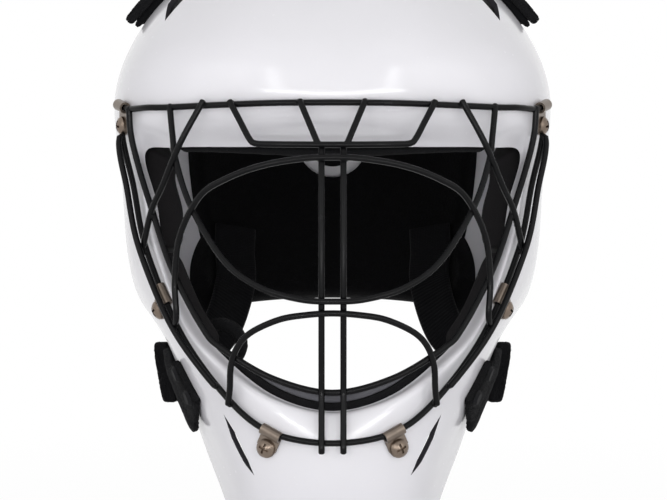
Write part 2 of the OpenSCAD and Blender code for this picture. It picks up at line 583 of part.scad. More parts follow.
// Jaw straps. A webbing tab is riveted to the jaw and runs back to an upright buckle;
// the elastic is folded through the buckle and runs on to the inside of the lining.
// Band over rows of points, each row across the band
function row_out(rows, i, j) = let (
        last = len(rows[i]) - 1,
        across = rows[i][min(j + 1, last)] - rows[i][max(j - 1, 0)],
        on = rows[min(i + 1, len(rows) - 1)][j] - rows[max(i - 1, 0)][j]
    ) unit(cross(across, on));
module band(rows, t, shade) color(shade) skin([for (i = [0 : len(rows) - 1]) let (
        r = rows[i],
        last = len(r) - 1
    ) concat([for (j = [0 : last]) r[j] + row_out(rows, i, j) * t / 2],
        [for (j = [last : -1 : 0]) r[j] - row_out(rows, i, j) * t / 2])]);
TAB_H = SEAT + strap_t / 2;
BUCKLE = [78.2, 9, 89.5];
BUCKLE_T = 3.2;
// The tab's rows on the jaw, with how far each stands off, and those behind it
JAW_TAB_FRONT = [[1.95, 0], [2.12, 0], [2.33, 0.3], [2.6, 1.2], [2.85, 2.6]];
JAW_TAB_REAR = [
    [[88.5, -11, 104], [77, -16, 74]], [[87, -1, 104], [78.4, -5, 74.5]], [[82.5, 7.6, 104.2], [78, 7.6, 75]]
];
JAW_WIDTH = [6.22, 6.84];
ACROSS_TAB = 4;
module jaw_tab(side) difference() {
    mirror([side < 0 ? 1 : 0, 0, 0]) band(concat(
        [for (q = JAW_TAB_FRONT) [for (j = [0 : ACROSS_TAB])
            mask_off(mid(JAW_WIDTH[0], JAW_WIDTH[1], j / ACROSS_TAB), q[0], TAB_H + q[1])]],
        [for (q = JAW_TAB_REAR) [for (j = [0 : ACROSS_TAB]) mid(sized(q[0]), sized(q[1]), j / ACROSS_TAB)]]),
        strap_t, "#1d1d1f");
    for (q = JAW_RIVETS) rivet_hole(mask_frame(q), side);
}
// Upright frame of the buckle, with a slot for the strap
module jaw_buckle(side) color("#0e0e0f") mirror([side < 0 ? 1 : 0, 0, 0]) translate(sized(BUCKLE)) difference() {
    translate([-BUCKLE_T / 2, -1, -strap_w / 2 - 1.5]) cube([BUCKLE_T, 14, strap_w + 3]);
    translate([-BUCKLE_T, 3.5, -strap_w / 2 + 1]) cube([2 * BUCKLE_T, 6, strap_w - 2]);
}
// The fold's two layers stand against the buckle's outer face
FOLD_T = strap_t * 1.5;
FOLD_GAP = strap_t * 0.85;
FOLD = sized(BUCKLE) + [BUCKLE_T / 2 + SEAT + FOLD_T / 2 + FOLD_GAP, 4, 1];
FOLD_LENGTHS = [23, 29];
module jaw_strap(side) color("#1d1d1f") mirror([side < 0 ? 1 : 0, 0, 0]) translate(FOLD)
    for (i = [0, 1]) translate([(2 * i - 1) * FOLD_GAP - FOLD_T / 2, 0, -strap_w / 2 - 1.5])
        cube([FOLD_T, FOLD_LENGTHS[i], strap_w + 3]);
// Elastic from the fold to the inside of the back lining
ELASTIC = [[82.2, 57, 92], [76, 73.5, 99.5], [60.5, 76.5, 112.5]];
ELASTIC_START = FOLD + [-FOLD_GAP, FOLD_LENGTHS[0] + 0.8, 0];
ELASTIC_OUT = [[1, 0, 0], [1, 0.4, -0.2], [0.7, 0.8, -0.2], [0.6, 0.8, -0.1]];
// Where it lies on the lining: angles and rows
ELASTIC_END = [[54, 5.75], [48, 5.35], [44, 5]];
ELASTIC_H = LINING_IN - 14 * SEAT - strap_t / 2;
function elastic_path() = smooth(concat([ELASTIC_START], [for (p = ELASTIC) sized(p)],
    [for (q = ELASTIC_END) plate_off(q[0], q[1], ELASTIC_H)]), 3);
function elastic_out() = smooth(concat(ELASTIC_OUT, [for (q = ELASTIC_END) plate_out(q[0], q[1])]), 3);
module side_elastic(side) mirror([side < 0 ? 1 : 0, 0, 0])
    ribbon(elastic_path(), elastic_out(), strap_w * 0.86, strap_t, "#151516");
// Curled end of a strap inside the left cheek
CURL = [[63, -50, 109], [61.5, -54, 115], [56, -57, 117], [49.5, -58, 114], [46.5, -58, 107], [49, -58, 100], [54, -58, 97.5]];
module strap_loop() mirror([1, 0, 0]) {
    path = smooth([for (p = CURL) sized(p)], 3);
    t = headings(path);
    ribbon(path, [for (h = t) cross(h, [0, 1, 0])], strap_w * 0.6, strap_t * 0.9, "#151516");
}

module mask_rivets() for (q = concat([TOP_RIVET], JAW_RIVETS), side = [-1, 1])
    rivet(mask_frame(q), side, wall);
module plate_rivets() for (side = [-1, 1]) rivet(plate_frame(PLATE_RIVET), side, plate_wall);

mask_shell();
back_plate();
back_lining();
lining_plug();
brow_pad();
sweatband();
crown_pad();
temple_pad(-1);  // temple_pad_left
temple_pad(1);  // temple_pad_right
cheek_pad(-1);  // cheek_pad_left
cheek_pad(1);  // cheek_pad_right
chin_band();
chin_foam();
top_bar();
inner_frame_wire();
rim_wire();
upper_eye_arch();
lower_eye_arc();
mouth_arch();
upright_bar(-1);  // upright_bar_left
upright_bar(1);  // upright_bar_right
brow_bar();
strut(-1);  // brow_strut_left
strut(1);  // brow_strut_right
brace(-1);  // side_brace_left
brace(1);  // side_brace_right
outer_wire(-1);  // outer_wire_left
outer_wire(1);  // outer_wire_right
clip(TEMPLE, -1);  // temple_clip_left
clip(TEMPLE, 1);  // temple_clip_right
clip(CHEEK, -1);  // cheek_clip_left
clip(CHEEK, 1);  // cheek_clip_right
clip(CHIN, -1);  // chin_clip_left
clip(CHIN, 1);  // chin_clip_right
clip_screws();
clip_nuts();
top_strap(-1);  // top_strap_left
top_strap(1);  // top_strap_right
top_tab(-1);  // top_tab_left
top_tab(1);  // top_tab_right
jaw_tab(-1);  // jaw_tab_left
jaw_tab(1);  // jaw_tab_right
jaw_buckle(-1);  // jaw_buckle_left
jaw_buckle(1);  // jaw_buckle_right
jaw_strap(-1);  // jaw_strap_left
jaw_strap(1);  // jaw_strap_right
side_elastic(-1);  // side_elastic_left
side_elastic(1);  // side_elastic_right
strap_loop();
mask_rivets();
plate_rivets();
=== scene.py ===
"""Looks of a floorball goalie helmet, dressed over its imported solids.

Sizes are in millimetres in the tables and in metres in the meshes. The face looks
along -Y, up is +Z, and the origin is on the ground under the middle of the helmet.
"""

from __future__ import annotations

import logging
import math
from dataclasses import dataclass, field
from enum import Enum
from typing import Any, Callable, Sequence

import bpy
import numpy as np
from mathutils import Euler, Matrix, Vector


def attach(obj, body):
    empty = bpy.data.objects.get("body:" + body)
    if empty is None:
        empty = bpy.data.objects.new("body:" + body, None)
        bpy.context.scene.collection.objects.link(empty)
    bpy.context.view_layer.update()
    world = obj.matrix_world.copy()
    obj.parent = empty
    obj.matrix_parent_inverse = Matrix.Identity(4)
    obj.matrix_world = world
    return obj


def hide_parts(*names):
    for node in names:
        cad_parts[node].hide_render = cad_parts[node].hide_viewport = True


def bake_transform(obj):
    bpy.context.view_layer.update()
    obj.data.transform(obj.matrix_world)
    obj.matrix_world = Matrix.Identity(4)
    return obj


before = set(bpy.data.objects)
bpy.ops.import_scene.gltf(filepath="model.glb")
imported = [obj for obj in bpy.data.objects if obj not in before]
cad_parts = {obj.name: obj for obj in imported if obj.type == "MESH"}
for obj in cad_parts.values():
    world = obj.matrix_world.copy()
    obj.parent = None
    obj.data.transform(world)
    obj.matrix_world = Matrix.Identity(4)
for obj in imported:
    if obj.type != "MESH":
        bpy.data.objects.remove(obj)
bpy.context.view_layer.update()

LOG = logging.getLogger("helmet")
MM = 0.001
Array = np.ndarray
Colour = tuple[float, float, float]
Mapping = Callable[[Array, Array, Array], Array]

# Millimetres, as in the part's source: the mask's wall, the play that keeps seated
# solids apart, the wire, the step from one wire to the wire laid over it, and straps
WALL = 3.0
SEAT = 0.3
WIRE_D = 3.2
LAYER = 2.8
CLIP_T = 1.0
HELD = WIRE_D / 2 + CLIP_T + SEAT
STRAP_W = 28.0
STRAP_T = 3.4


class Side(Enum):
    """Side of the helmet, as the sign of X."""

    LEFT = -1
    RIGHT = 1

    @property
    def word(self) -> str:
        """The side's name as the nodes spell it."""
        return self.name.lower()

    @property
    def flip(self) -> Array:
        """Factors that carry a point of the right side to this side."""
        return np.array([self.value, 1, 1])


FLIP = Side.LEFT.flip


# Curves and meshes


def bend(a: Array, b: Array, c: Array, d: Array, t: Array) -> Array:
    """Catmull-Rom curve between b and c, with a and d as their neighbours.

    Args:
        a: Points before b.
        b: Points where t is 0.
        c: Points where t is 1.
        d: Points after c.
        t: How far from b to c, broadcast over the points.

    Returns:
        The points on the curve.
    """
    return 0.5 * (
        2 * b + (c - a) * t + (2 * a - 5 * b + 4 * c - d) * t**2 + (3 * b - a - 3 * c + d) * t**3
    )


def along(points: Array, places: Array) -> Array:
    """Smooth curve through an open list of points.

    Args:
        points: One row for each point.
        places: Places along the list, counted in points.

    Returns:
        One row for each place.
    """
    points = np.asarray(points, float)
    ends = np.concatenate([[2 * points[0] - points[1]], points, [2 * points[-1] - points[-2]]])
    i = np.clip(np.floor(places).astype(int), 0, len(points) - 2)
    t = (np.asarray(places) - i).reshape(-1, *([1] * (points.ndim - 1)))
    return bend(ends[i], ends[i + 1], ends[i + 2], ends[i + 3], t)


def smooth(points: Array, steps: int) -> Array:
    """The smooth curve sampled at a number of steps between neighbouring points."""
    count = (len(points) - 1) * steps + 1
    return along(np.asarray(points, float), np.linspace(0, len(points) - 1, count))


def unit(v: Array) -> Array:
    """Vectors at length 1 along the last axis."""
    return v / np.maximum(np.linalg.norm(v, axis=-1, keepdims=True), 1e-12)


def square_to(v: Array, t: Array) -> Array:
    """Part of v that is square to t, at length 1."""
    return unit(v - np.sum(v * t, axis=-1, keepdims=True) * t)


def headings(path: Array) -> Array:
    """Direction of a path at each of its points."""
    padded = np.concatenate([path[:1], path, path[-1:]])
    return unit(padded[2:] - padded[:-2])


def even_path(path: Array, step: float) -> Array:
    """A path resampled at even lengths.

    Args:
        path: Points along the path.
        step: Length between the new points, in the path's own unit.

    Returns:
        The new points, from the first end to the last.
    """
    run = np.concatenate([[0], np.cumsum(np.linalg.norm(np.diff(path, axis=0), axis=1))])
    places = np.linspace(0, run[-1], max(int(run[-1] / step) + 1, 2))
    return np.stack([np.interp(places, run, path[:, k]) for k in range(3)], axis=1)


def grid_faces(rows: int, columns: int, around: bool = False, over: bool = False) -> Array:
    """Quads of a grid of points stored row by row.

    Args:
        rows: Number of rows.
        columns: Points in a row.
        around: Whether each row closes on itself.
        over: Whether the last row joins the first.

    Returns:
        Four point numbers for each quad.
    """
    i = np.arange(rows if over else rows - 1)[:, None]
    j = np.arange(columns if around else columns - 1)[None, :]
    up, right = (i + 1) % rows, (j + 1) % columns
    quads = np.stack(
        [i * columns + j, i * columns + right, up * columns + right, up * columns + j], axis=-1
    )
    return quads.reshape(-1, 4)


def new_piece(
    name: str, points: Array, faces: Sequence[Any], uvs: Array | None = None, soft: bool = True
) -> bpy.types.Object:
    """Makes a mesh object from points in metres.

    Args:
        name: Name of the piece.
        points: One row for each vertex.
        faces: Vertex numbers of each face.
        uvs: Place on the surface of each vertex, in metres, for a weave.
        soft: Whether the faces are shaded as one smooth surface.

    Returns:
        The new object, at the origin.
    """
    mesh = bpy.data.meshes.new(name)
    mesh.from_pydata(np.asarray(points).tolist(), [], [list(map(int, f)) for f in faces])
    mesh.polygons.foreach_set("use_smooth", np.full(len(mesh.polygons), soft))
    if uvs is not None:
        corners = np.empty(len(mesh.loops), int)
        mesh.loops.foreach_get("vertex_index", corners)
        layer = mesh.uv_layers.new(name="surface")
        layer.data.foreach_set("uv", np.asarray(uvs)[corners].ravel())
    mesh.update()
    piece = bpy.data.objects.new(name, mesh)
    bpy.context.scene.collection.objects.link(piece)
    return piece


def face_outwards(piece: bpy.types.Object) -> None:
    """Turns a closed mesh's faces outwards if its signed volume is negative.

    Args:
        piece: A closed piece.
    """
    mesh = piece.data
    mesh.calc_loop_triangles()
    corners = np.empty(len(mesh.loop_triangles) * 3, int)
    mesh.loop_triangles.foreach_get("vertices", corners)
    places = np.empty(len(mesh.vertices) * 3)
    mesh.vertices.foreach_get("co", places)
    a, b, c = np.moveaxis(places.reshape(-1, 3)[corners.reshape(-1, 3)], 1, 0)
    if np.sum(a * np.cross(b, c)) < 0:
        mesh.flip_normals()


def bevel(piece: bpy.types.Object, width: float, segments: int = 2, angle: float = 40.0) -> None:
    """Rounds a piece's sharp edges.

    Args:
        piece: The piece.
        width: Width of the rounding, in millimetres.
        segments: Steps across it.
        angle: Least angle between faces that counts as an edge, in degrees.
    """
    step = piece.modifiers.new("rounding", "BEVEL")
    step.width = width * MM
    step.segments = segments
    step.limit_method = "ANGLE"
    step.angle_limit = math.radians(angle)
    step.harden_normals = False


def tube(name: str, path: Array, radius: float, sides: int = 18) -> bpy.types.Object:
    """A round wire swept along a path, with domed ends.

    The ring at each point is radius * (cos a * s + sin a * t), where s and t are two
    directions square to the path. The ends close over four shrinking rings.

    Args:
        name: Name of the piece.
        path: Points along the middle of the wire, in millimetres.
        radius: Radius of the wire, in millimetres.
        sides: Points round the wire.

    Returns:
        The new object.
    """
    heads = headings(path)
    dome = np.radians([80, 60, 38, 18])
    start = path[0] - heads[0] * radius * 0.55 * np.sin(dome)[:, None]
    finish = path[-1] + heads[-1] * radius * 0.55 * np.sin(dome[::-1])[:, None]
    middle = np.concatenate([start, path, finish])
    radii = np.concatenate([np.cos(dome), np.ones(len(path)), np.cos(dome[::-1])]) * radius
    heads = np.concatenate([np.repeat(heads[:1], 4, 0), heads, np.repeat(heads[-1:], 4, 0)])
    s = np.empty_like(middle)
    s[0] = square_to(np.array([0.01, -1.0, 0.02]), heads[0])
    for i in range(1, len(middle)):
        s[i] = square_to(s[i - 1], heads[i])
    t = np.cross(heads, s)
    a = np.linspace(0, 2 * np.pi, sides, endpoint=False)
    rings = middle[:, None] + radii[:, None, None] * (
        np.cos(a)[None, :, None] * s[:, None] + np.sin(a)[None, :, None] * t[:, None]
    )
    faces = grid_faces(len(middle), sides, around=True).tolist()
    last = (len(middle) - 1) * sides
    faces += [list(range(sides))[::-1], list(range(last, last + sides))]
    piece = new_piece(name, rings.reshape(-1, 3) * MM, faces)
    face_outwards(piece)
    return piece


def section(count: int, edge: float) -> tuple[Array, Array]:
    """Points round a squared-off circle of width 1, three quarters on its wide sides.

    A point of the square's outline at (x, y) is drawn in by (|x|^n + |y|^n)^(-1/n),
    where n is 2 over the roundness.

    Args:
        count: Number of points, rounded down to a multiple of 8.
        edge: Roundness, from 0, square, to 1, round.

    Returns:
        Places across and through, from -0.5 to 0.5.
    """
    wide = np.linspace(1, -1, count // 8 * 3, endpoint=False)
    thin = np.linspace(1, -1, count // 8, endpoint=False)
    ones = np.ones
    x = np.concatenate([wide, -ones(len(thin)), -wide, ones(len(thin))])
    y = np.concatenate([ones(len(wide)), thin, -ones(len(wide)), -thin])
    drawn = (np.abs(x) ** (2 / edge) + np.abs(y) ** (2 / edge)) ** (-edge / 2)
    return 0.5 * x * drawn, 0.5 * y * drawn


def soft_box(
    name: str,
    mapping: Mapping,
    size: tuple[int, int],
    edge: tuple[float, float] = (0.18, 0.22),
    cloth: tuple[float, float] = (1.0, 1.0),
) -> bpy.types.Object:
    """A rounded box bent into shape, for pads, straps and folded webbing.

    A squared-off ball fills the unit box: s runs along the piece, f across it and h
    through it. mapping then carries (s, f, h) to its place.

    Args:
        name: Name of the piece.
        mapping: Turns arrays s, f and h into points in millimetres.
        size: Steps along the piece and round its section.
        edge: How square the ends and the section are, from 0, sharp, to 1, round.
        cloth: Length and width that the weave is laid out on, in metres.

    Returns:
        The new object.
    """
    # Places along the piece crowd towards its two ends, where it closes
    s = 0.5 + 0.5 * np.sin(np.linspace(-np.pi / 2, np.pi / 2, size[0] + 1)[1:-1])
    drawn = (1 - np.abs(2 * s - 1) ** (2 / edge[0])) ** (edge[0] / 2)
    drawn = np.clip(drawn, 0.02, 1)
    f, h = section(size[1], edge[1])
    ss, ff = np.broadcast_arrays(s[:, None], 0.5 + drawn[:, None] * f)
    hh = 0.5 + drawn[:, None] * h
    points = mapping(ss.ravel(), ff.ravel(), hh.ravel())
    caps = mapping(np.array([0.0, 1.0]), np.array([0.5, 0.5]), np.array([0.5, 0.5]))
    n, m = len(s), len(f)
    faces = grid_faces(n, m, around=True).tolist()
    faces += [[n * m, (j + 1) % m, j] for j in range(m)]
    faces += [[n * m + 1, (n - 1) * m + j, (n - 1) * m + (j + 1) % m] for j in range(m)]
    across = ff + (hh - 0.5) * 0.15
    uvs = np.stack([ss.ravel() * cloth[0], across.ravel() * cloth[1]], axis=1)
    uvs = np.concatenate([uvs, [[0, 0.5 * cloth[1]], [cloth[0], 0.5 * cloth[1]]]])
    piece = new_piece(name, np.concatenate([points, caps]) * MM, faces, uvs)
    face_outwards(piece)
    return piece


def walled(
    name: str, outer: Array, inner: Array, keep: Array, around: bool
) -> bpy.types.Object:
    """A shell with an outer and an inner skin, joined along its edges and holes.

    Args:
        name: Name of the piece.
        outer: Outer skin's points, rows by columns, in millimetres.
        inner: Inner skin's points, in the same order.
        keep: Which quads of the grid are there, in the order of grid_faces.
        around: Whether the last row joins the first.

    Returns:
        The new object.
    """
    rows, columns = outer.shape[:2]
    quads = grid_faces(rows, columns, over=around)[keep.ravel()]
    count = rows * columns
    edges = np.concatenate([quads[:, [k, (k + 1) % 4]] for k in range(4)])
    codes = edges[:, 0] * count + edges[:, 1]
    twins = edges[:, 1] * count + edges[:, 0]
    rim = edges[~np.isin(codes, twins)]
    walls = np.stack([rim[:, 1], rim[:, 0], rim[:, 0] + count, rim[:, 1] + count], axis=1)
    faces = np.concatenate([quads, quads[:, ::-1] + count, walls])
    used, order = np.unique(faces, return_inverse=True)
    points = np.concatenate([outer.reshape(-1, 3), inner.reshape(-1, 3)])[used]
    piece = new_piece(name, points * MM, order.reshape(faces.shape))
    face_outwards(piece)
    return piece


def roughen(piece: bpy.types.Object, height: float) -> None:
    """Moves each vertex along its normal at random, for a brushed, ragged outline.

    Args:
        piece: The piece.
        height: Furthest move in millimetres.
    """
    vertices = piece.data.vertices
    places, normals = np.empty(len(vertices) * 3), np.empty(len(vertices) * 3)
    vertices.foreach_get("co", places)
    vertices.foreach_get("normal", normals)
    moves = np.random.default_rng(1).uniform(-1, 1, len(vertices)) * height * MM
    vertices.foreach_set("co", places + normals * np.repeat(moves, 3))
    piece.data.update()


def cut_through(piece: bpy.types.Object, cutter: bpy.types.Object) -> None:
    """Takes a cutter's volume out of a piece and deletes the cutter.

    Args:
        piece: The piece, whose mesh is replaced by the cut one.
        cutter: A closed mesh.
    """
    step = piece.modifiers.new("cut", "BOOLEAN")
    step.operation = "DIFFERENCE"
    step.solver = "EXACT"
    step.object = cutter
    view = bpy.context.evaluated_depsgraph_get()
    mesh = bpy.data.meshes.new_from_object(piece.evaluated_get(view))
    piece.modifiers.remove(step)
    old, piece.data = piece.data, mesh
    bpy.data.meshes.remove(old)
    bpy.data.objects.remove(cutter)


def nearest_on_outline(places: Array, outline: Array) -> tuple[Array, Array]:
    """Nearest points on a closed outline, and whether places are inside it.

    Each place is dropped square onto every side of the outline, and the shortest drop
    wins. A place is inside where a line from it crosses the sides an odd number of times.

    Args:
        places: Places in the outline's plane, one row each.
        outline: Corners of the outline in order.

    Returns:
        The nearest points, and True for each place inside.
    """
    a, b = outline, np.roll(outline, -1, axis=0)
    side = b - a
    rel = places[:, None] - a[None]
    t = np.clip(np.sum(rel * side, -1) / np.sum(side * side, -1), 0, 1)
    near = a[None] + t[..., None] * side[None]
    pick = np.argmin(np.linalg.norm(places[:, None] - near, axis=-1), axis=1)
    level = (a[None, :, 1] > places[:, None, 1]) != (b[None, :, 1] > places[:, None, 1])
    rise = np.where(np.abs(side[:, 1]) < 1e-9, 1e-9, side[:, 1])
    cross = a[None, :, 0] + (places[:, None, 1] - a[None, :, 1]) * side[None, :, 0] / rise
    inside = np.sum(level & (places[:, None, 0] < cross), axis=1) % 2 == 1
    return near[np.arange(len(places)), pick], inside


# Finishes


class Sock:
    """A shader value that adds Math nodes when it is reckoned with."""

    def __init__(self, tree: "Tree", out: Any) -> None:
        """Keeps the tree and the output socket."""
        self.tree = tree
        self.out = out

    def _math(self, operation: str, *values: Any) -> "Sock":
        """Adds one Math node on this value and the others."""
        inputs = {i: v for i, v in enumerate(values)}
        return self.tree.add("ShaderNodeMath", {"operation": operation}, inputs)

    def __add__(self, other: Any) -> "Sock":
        """This value plus another."""
        return self._math("ADD", self, other)

    def __sub__(self, other: Any) -> "Sock":
        """This value less another."""
        return self._math("SUBTRACT", self, other)

    def __rsub__(self, other: Any) -> "Sock":
        """Another value less this one."""
        return self._math("SUBTRACT", other, self)

    def __mul__(self, other: Any) -> "Sock":
        """This value times another."""
        return self._math("MULTIPLY", self, other)

    __radd__ = __add__
    __rmul__ = __mul__

    def sine(self) -> "Sock":
        """Sine of this value in radians."""
        return self._math("SINE", self)

    def step(self, low: float, high: float) -> "Sock":
        """Smooth step from 0 at low to 1 at high."""
        settings = {"interpolation_type": "SMOOTHSTEP"}
        return self.tree.add("ShaderNodeMapRange", settings, {0: self, 1: low, 2: high})


class Tree:
    """Node tree of one material, with its Principled shader."""

    def __init__(self, material: bpy.types.Material) -> None:
        """Empties the material's tree and adds its shader.

        Args:
            material: The material whose tree it is.
        """
        material.use_nodes = True
        self.tree = material.node_tree
        self.tree.nodes.clear()
        self.shader = self.tree.nodes.new("ShaderNodeBsdfPrincipled")
        end = self.tree.nodes.new("ShaderNodeOutputMaterial")
        self.tree.links.new(self.shader.outputs[0], end.inputs[0])

    def _plug(self, socket: Any, value: Any) -> None:
        """Links a value to a socket, or writes a plain number there.

        Args:
            socket: Input of a node.
            value: A wrapped socket, or a plain number or colour.
        """
        if isinstance(value, Sock):
            self.tree.links.new(value.out, socket)
        else:
            socket.default_value = value

    def add(
        self, kind: str, settings: dict[str, Any], inputs: dict[Any, Any], output: Any = 0
    ) -> Sock:
        """Adds a node.

        Args:
            kind: The node's type.
            settings: Its settings, which are written first.
            inputs: Values or links of its sockets, by number or name.
            output: Number or name of the output to return.

        Returns:
            The output, as a value that can be reckoned with.
        """
        node = self.tree.nodes.new(kind)
        for key, value in settings.items():
            setattr(node, key, value)
        for key, value in inputs.items():
            self._plug(node.inputs[key], value)
        return Sock(self, node.outputs[output])

    def place(self, stretch: tuple[float, float, float] = (1, 1, 1), uv: bool = False) -> Sock:
        """Place on the piece in metres, stretched along each axis."""
        where = self.add("ShaderNodeTexCoord", {}, {}, "UV" if uv else "Object")
        return self.add("ShaderNodeMapping", {}, {"Vector": where, "Scale": stretch})

    def noise(self, scale: float, detail: float = 2.0, place: Sock | None = None) -> Sock:
        """Noise from 0 to 1 with about one wave in 1/scale metres."""
        inputs = {"Vector": place or self.place(), "Scale": scale, "Detail": detail}
        return self.add("ShaderNodeTexNoise", {}, inputs, "Fac")

    def cells(self, scale: float, place: Sock | None = None) -> Sock:
        """Distance from the middles of small cells."""
        inputs = {"Vector": place or self.place(), "Scale": scale}
        return self.add("ShaderNodeTexVoronoi", {}, inputs, "Distance")

    def axis(self, place: Sock, name: str) -> Sock:
        """One of a place's X, Y or Z."""
        return self.add("ShaderNodeSeparateXYZ", {}, {0: place}, name)

    def shade(self, mask: Sock, low: Colour, high: Colour) -> Sock:
        """Colour that goes from low to high as mask goes from 0 to 1."""
        inputs = {"Factor": mask, 6: (*low, 1.0), 7: (*high, 1.0)}
        return self.add("ShaderNodeMix", {"data_type": "RGBA"}, inputs, 2)

    def bump(self, height: Sock, depth: float, strength: float = 1.0) -> None:
        """Raises the surface by height times a depth in millimetres."""
        inputs = {"Height": height, "Distance": depth * MM, "Strength": strength}
        self.wear({"Normal": self.add("ShaderNodeBump", {}, inputs)})

    def wear(self, inputs: dict[str, Any]) -> None:
        """Writes values or links into the shader's own sockets."""
        for key, value in inputs.items():
            self._plug(self.shader.inputs[key], value)


def tinted(colour: Colour, factor: float) -> Colour:
    """A colour made lighter or darker by a factor."""
    return tuple(min(c * factor, 1.0) for c in colour)


@dataclass(frozen=True)
class Finish:
    """A finish of the helmet, with the record's slot that it stands for."""

    name: str
    slot: str
    colour: Colour
    roughness: float = 0.5

    def pattern(self, tree: Tree) -> None:
        """Adds the finish's own pattern to the tree."""
        tree.wear({"Base Color": (*self.colour, 1.0)})

    def material(self) -> bpy.types.Material:
        """The finish's material, made once and then shared.

        Returns:
            The material.
        """
        found = bpy.data.materials.get(self.name)
        if found:
            return found
        material = bpy.data.materials.new(self.name)
        tree = Tree(material)
        tree.wear({"Roughness": self.roughness})
        self.pattern(tree)
        return material

    def dress(self, piece: bpy.types.Object) -> None:
        """Gives a piece this finish, in place of all that it has."""
        piece.data.materials.clear()
        piece.data.materials.append(self.material())


@dataclass(frozen=True)
class GlossShell(Finish):
    """Painted, polished shell with faint waves, fine orange peel and rubbed specks."""

    def pattern(self, tree: Tree) -> None:
        """Mottles the paint by 2 in 100 and ripples it by hundredths of a millimetre.

        Args:
            tree: Tree of the finish's material.
        """
        mottle = tree.noise(35, 3)
        rubbed = tree.noise(420, 4).step(0.66, 0.8)
        tree.wear(
            {
                "Base Color": tree.shade(mottle, tinted(self.colour, 0.975), self.colour),
                "Roughness": rubbed * 0.12 + mottle * 0.05 + self.roughness,
                "Coat Weight": 0.35,
                "Coat Roughness": 0.08,
                "Specular IOR Level": 0.45,
            }
        )
        tree.bump(tree.noise(60, 1) * 0.8 + tree.noise(900, 2) * 0.05, 0.05, 0.5)


@dataclass(frozen=True)
class PowderCoat(Finish):
    """Black powder coat on wire, with fine orange peel and rubbed, greyer patches."""

    def pattern(self, tree: Tree) -> None:
        """Fine grain of 0.6 mm and worn patches of about 8 mm.

        Args:
            tree: Tree of the finish's material.
        """
        worn = tree.noise(120, 3).step(0.55, 0.75)
        grain = tree.noise(1600, 2)
        tree.wear(
            {
                "Base Color": tree.shade(worn, self.colour, tinted(self.colour, 1.7)),
                "Roughness": self.roughness + grain * 0.08 - worn * 0.05,
                "Specular IOR Level": 0.14,
            }
        )
        tree.bump(grain, 0.04, 0.6)


@dataclass(frozen=True)
class PlatedMetal(Finish):
    """Dull plated sheet or bar metal, finely scratched, with darker clouds painted in as
    reflections of darker surroundings.
    """

    scratch: tuple[float, float, float] = (900, 60, 60)

    def pattern(self, tree: Tree) -> None:
        """Scratches from stretched noise, and clouds that darken the plating.

        Args:
            Scratches from stretched noise, and clouds that darken the plating as painted dark
            reflections.
        """
        cloud_and_dark_reflection = tree.noise(150, 4)
        lines = tree.noise(1, 2, tree.place(self.scratch))
        tree.wear(
            {
                "Metallic": 1.0,
                # Painted reflection: the clouds darken the colour in patches, for darker
                # surroundings mirrored in the metal
                "Base Color": tree.shade(cloud_and_dark_reflection, tinted(self.colour, 0.55), self.colour),
                "Roughness": self.roughness + lines * 0.15 + cloud_and_dark_reflection * 0.12,
            }
        )
        tree.bump(lines * 0.6 + cloud_and_dark_reflection * 0.4, 0.03, 0.5)


@dataclass(frozen=True)
class Foam(Finish):
    """Closed-cell foam with fine pores and a rubbed, paler bloom."""

    def pattern(self, tree: Tree) -> None:
        """Pores from 0.7 mm cells over soft dents of about 10 mm.

        Args:
            tree: Tree of the finish's material.
        """
        pores = tree.cells(1500)
        bloom = tree.noise(70, 3)
        tree.wear(
            {
                "Base Color": tree.shade(
                    bloom, tinted(self.colour, 0.75), tinted(self.colour, 1.3)
                ),
                "Sheen Weight": 0.05,
                "Specular IOR Level": 0.15,
                "Sheen Roughness": 0.5,
            }
        )
        tree.bump(pores * 0.5 + tree.noise(90, 2) * 1.5, 0.25, 0.7)


@dataclass(frozen=True)
class LoopPile(Finish):
    """Brushed loop fabric: short curly pile that catches a little light."""

    def pattern(self, tree: Tree) -> None:
        """Curls from two fine noises, with lint-like paler flecks.

        Args:
            tree: Tree of the finish's material.
        """
        curls = tree.noise(900, 4)
        flecks = tree.noise(2600, 2).step(0.56, 0.75)
        tree.wear(
            {
                "Base Color": tree.shade(flecks, self.colour, tinted(self.colour, 2.6)),
                "Sheen Weight": 0.03,
                "Sheen Roughness": 0.6,
                "Specular IOR Level": 0.1,
            }
        )
        tree.bump(curls + tree.cells(1900) * 0.6, 0.7, 0.9)


@dataclass(frozen=True)
class RibbedElastic(Finish):
    """Woven elastic with ribs across its length and fine yarns along it."""

    rib: float = 1.3

    def pattern(self, tree: Tree) -> None:
        """Ribs are sines of the length on the piece's own map, yarns of the width.

        Args:
            tree: Tree of the finish's material.
        """
        place = tree.place(uv=True)
        turn = 2 * math.pi / (self.rib * MM)
        ribs = (tree.axis(place, "X") * turn).sine() * 0.5 + 0.5
        yarns = (tree.axis(place, "Y") * (turn * 1.3)).sine() * 0.5 + 0.5
        fuzz = tree.noise(1400, 3)
        weave = ribs * 0.7 + yarns * 0.3
        tree.wear(
            {
                "Base Color": tree.shade(
                    weave * 0.6 + fuzz * 0.4, tinted(self.colour, 0.5), tinted(self.colour, 1.8)
                ),
                "Sheen Weight": 0.05,
                "Sheen Roughness": 0.5,
                "Specular IOR Level": 0.05,
            }
        )
        tree.bump(weave + fuzz * 0.5, 0.3, 0.9)


@dataclass(frozen=True)
class MouldedPlastic(Finish):
    """Matt moulded plastic with a fine spark-eroded grain."""

    def pattern(self, tree: Tree) -> None:
        """Grain of about 0.5 mm in colour and height.

        Args:
            tree: Tree of the finish's material.
        """
        grain = tree.noise(1900, 2)
        tree.wear(
            {
                "Base Color": tree.shade(grain, self.colour, tinted(self.colour, 1.5)),
                "Roughness": self.roughness + grain * 0.1,
                "Specular IOR Level": 0.25,
            }
        )
        tree.bump(grain, 0.03, 0.6)


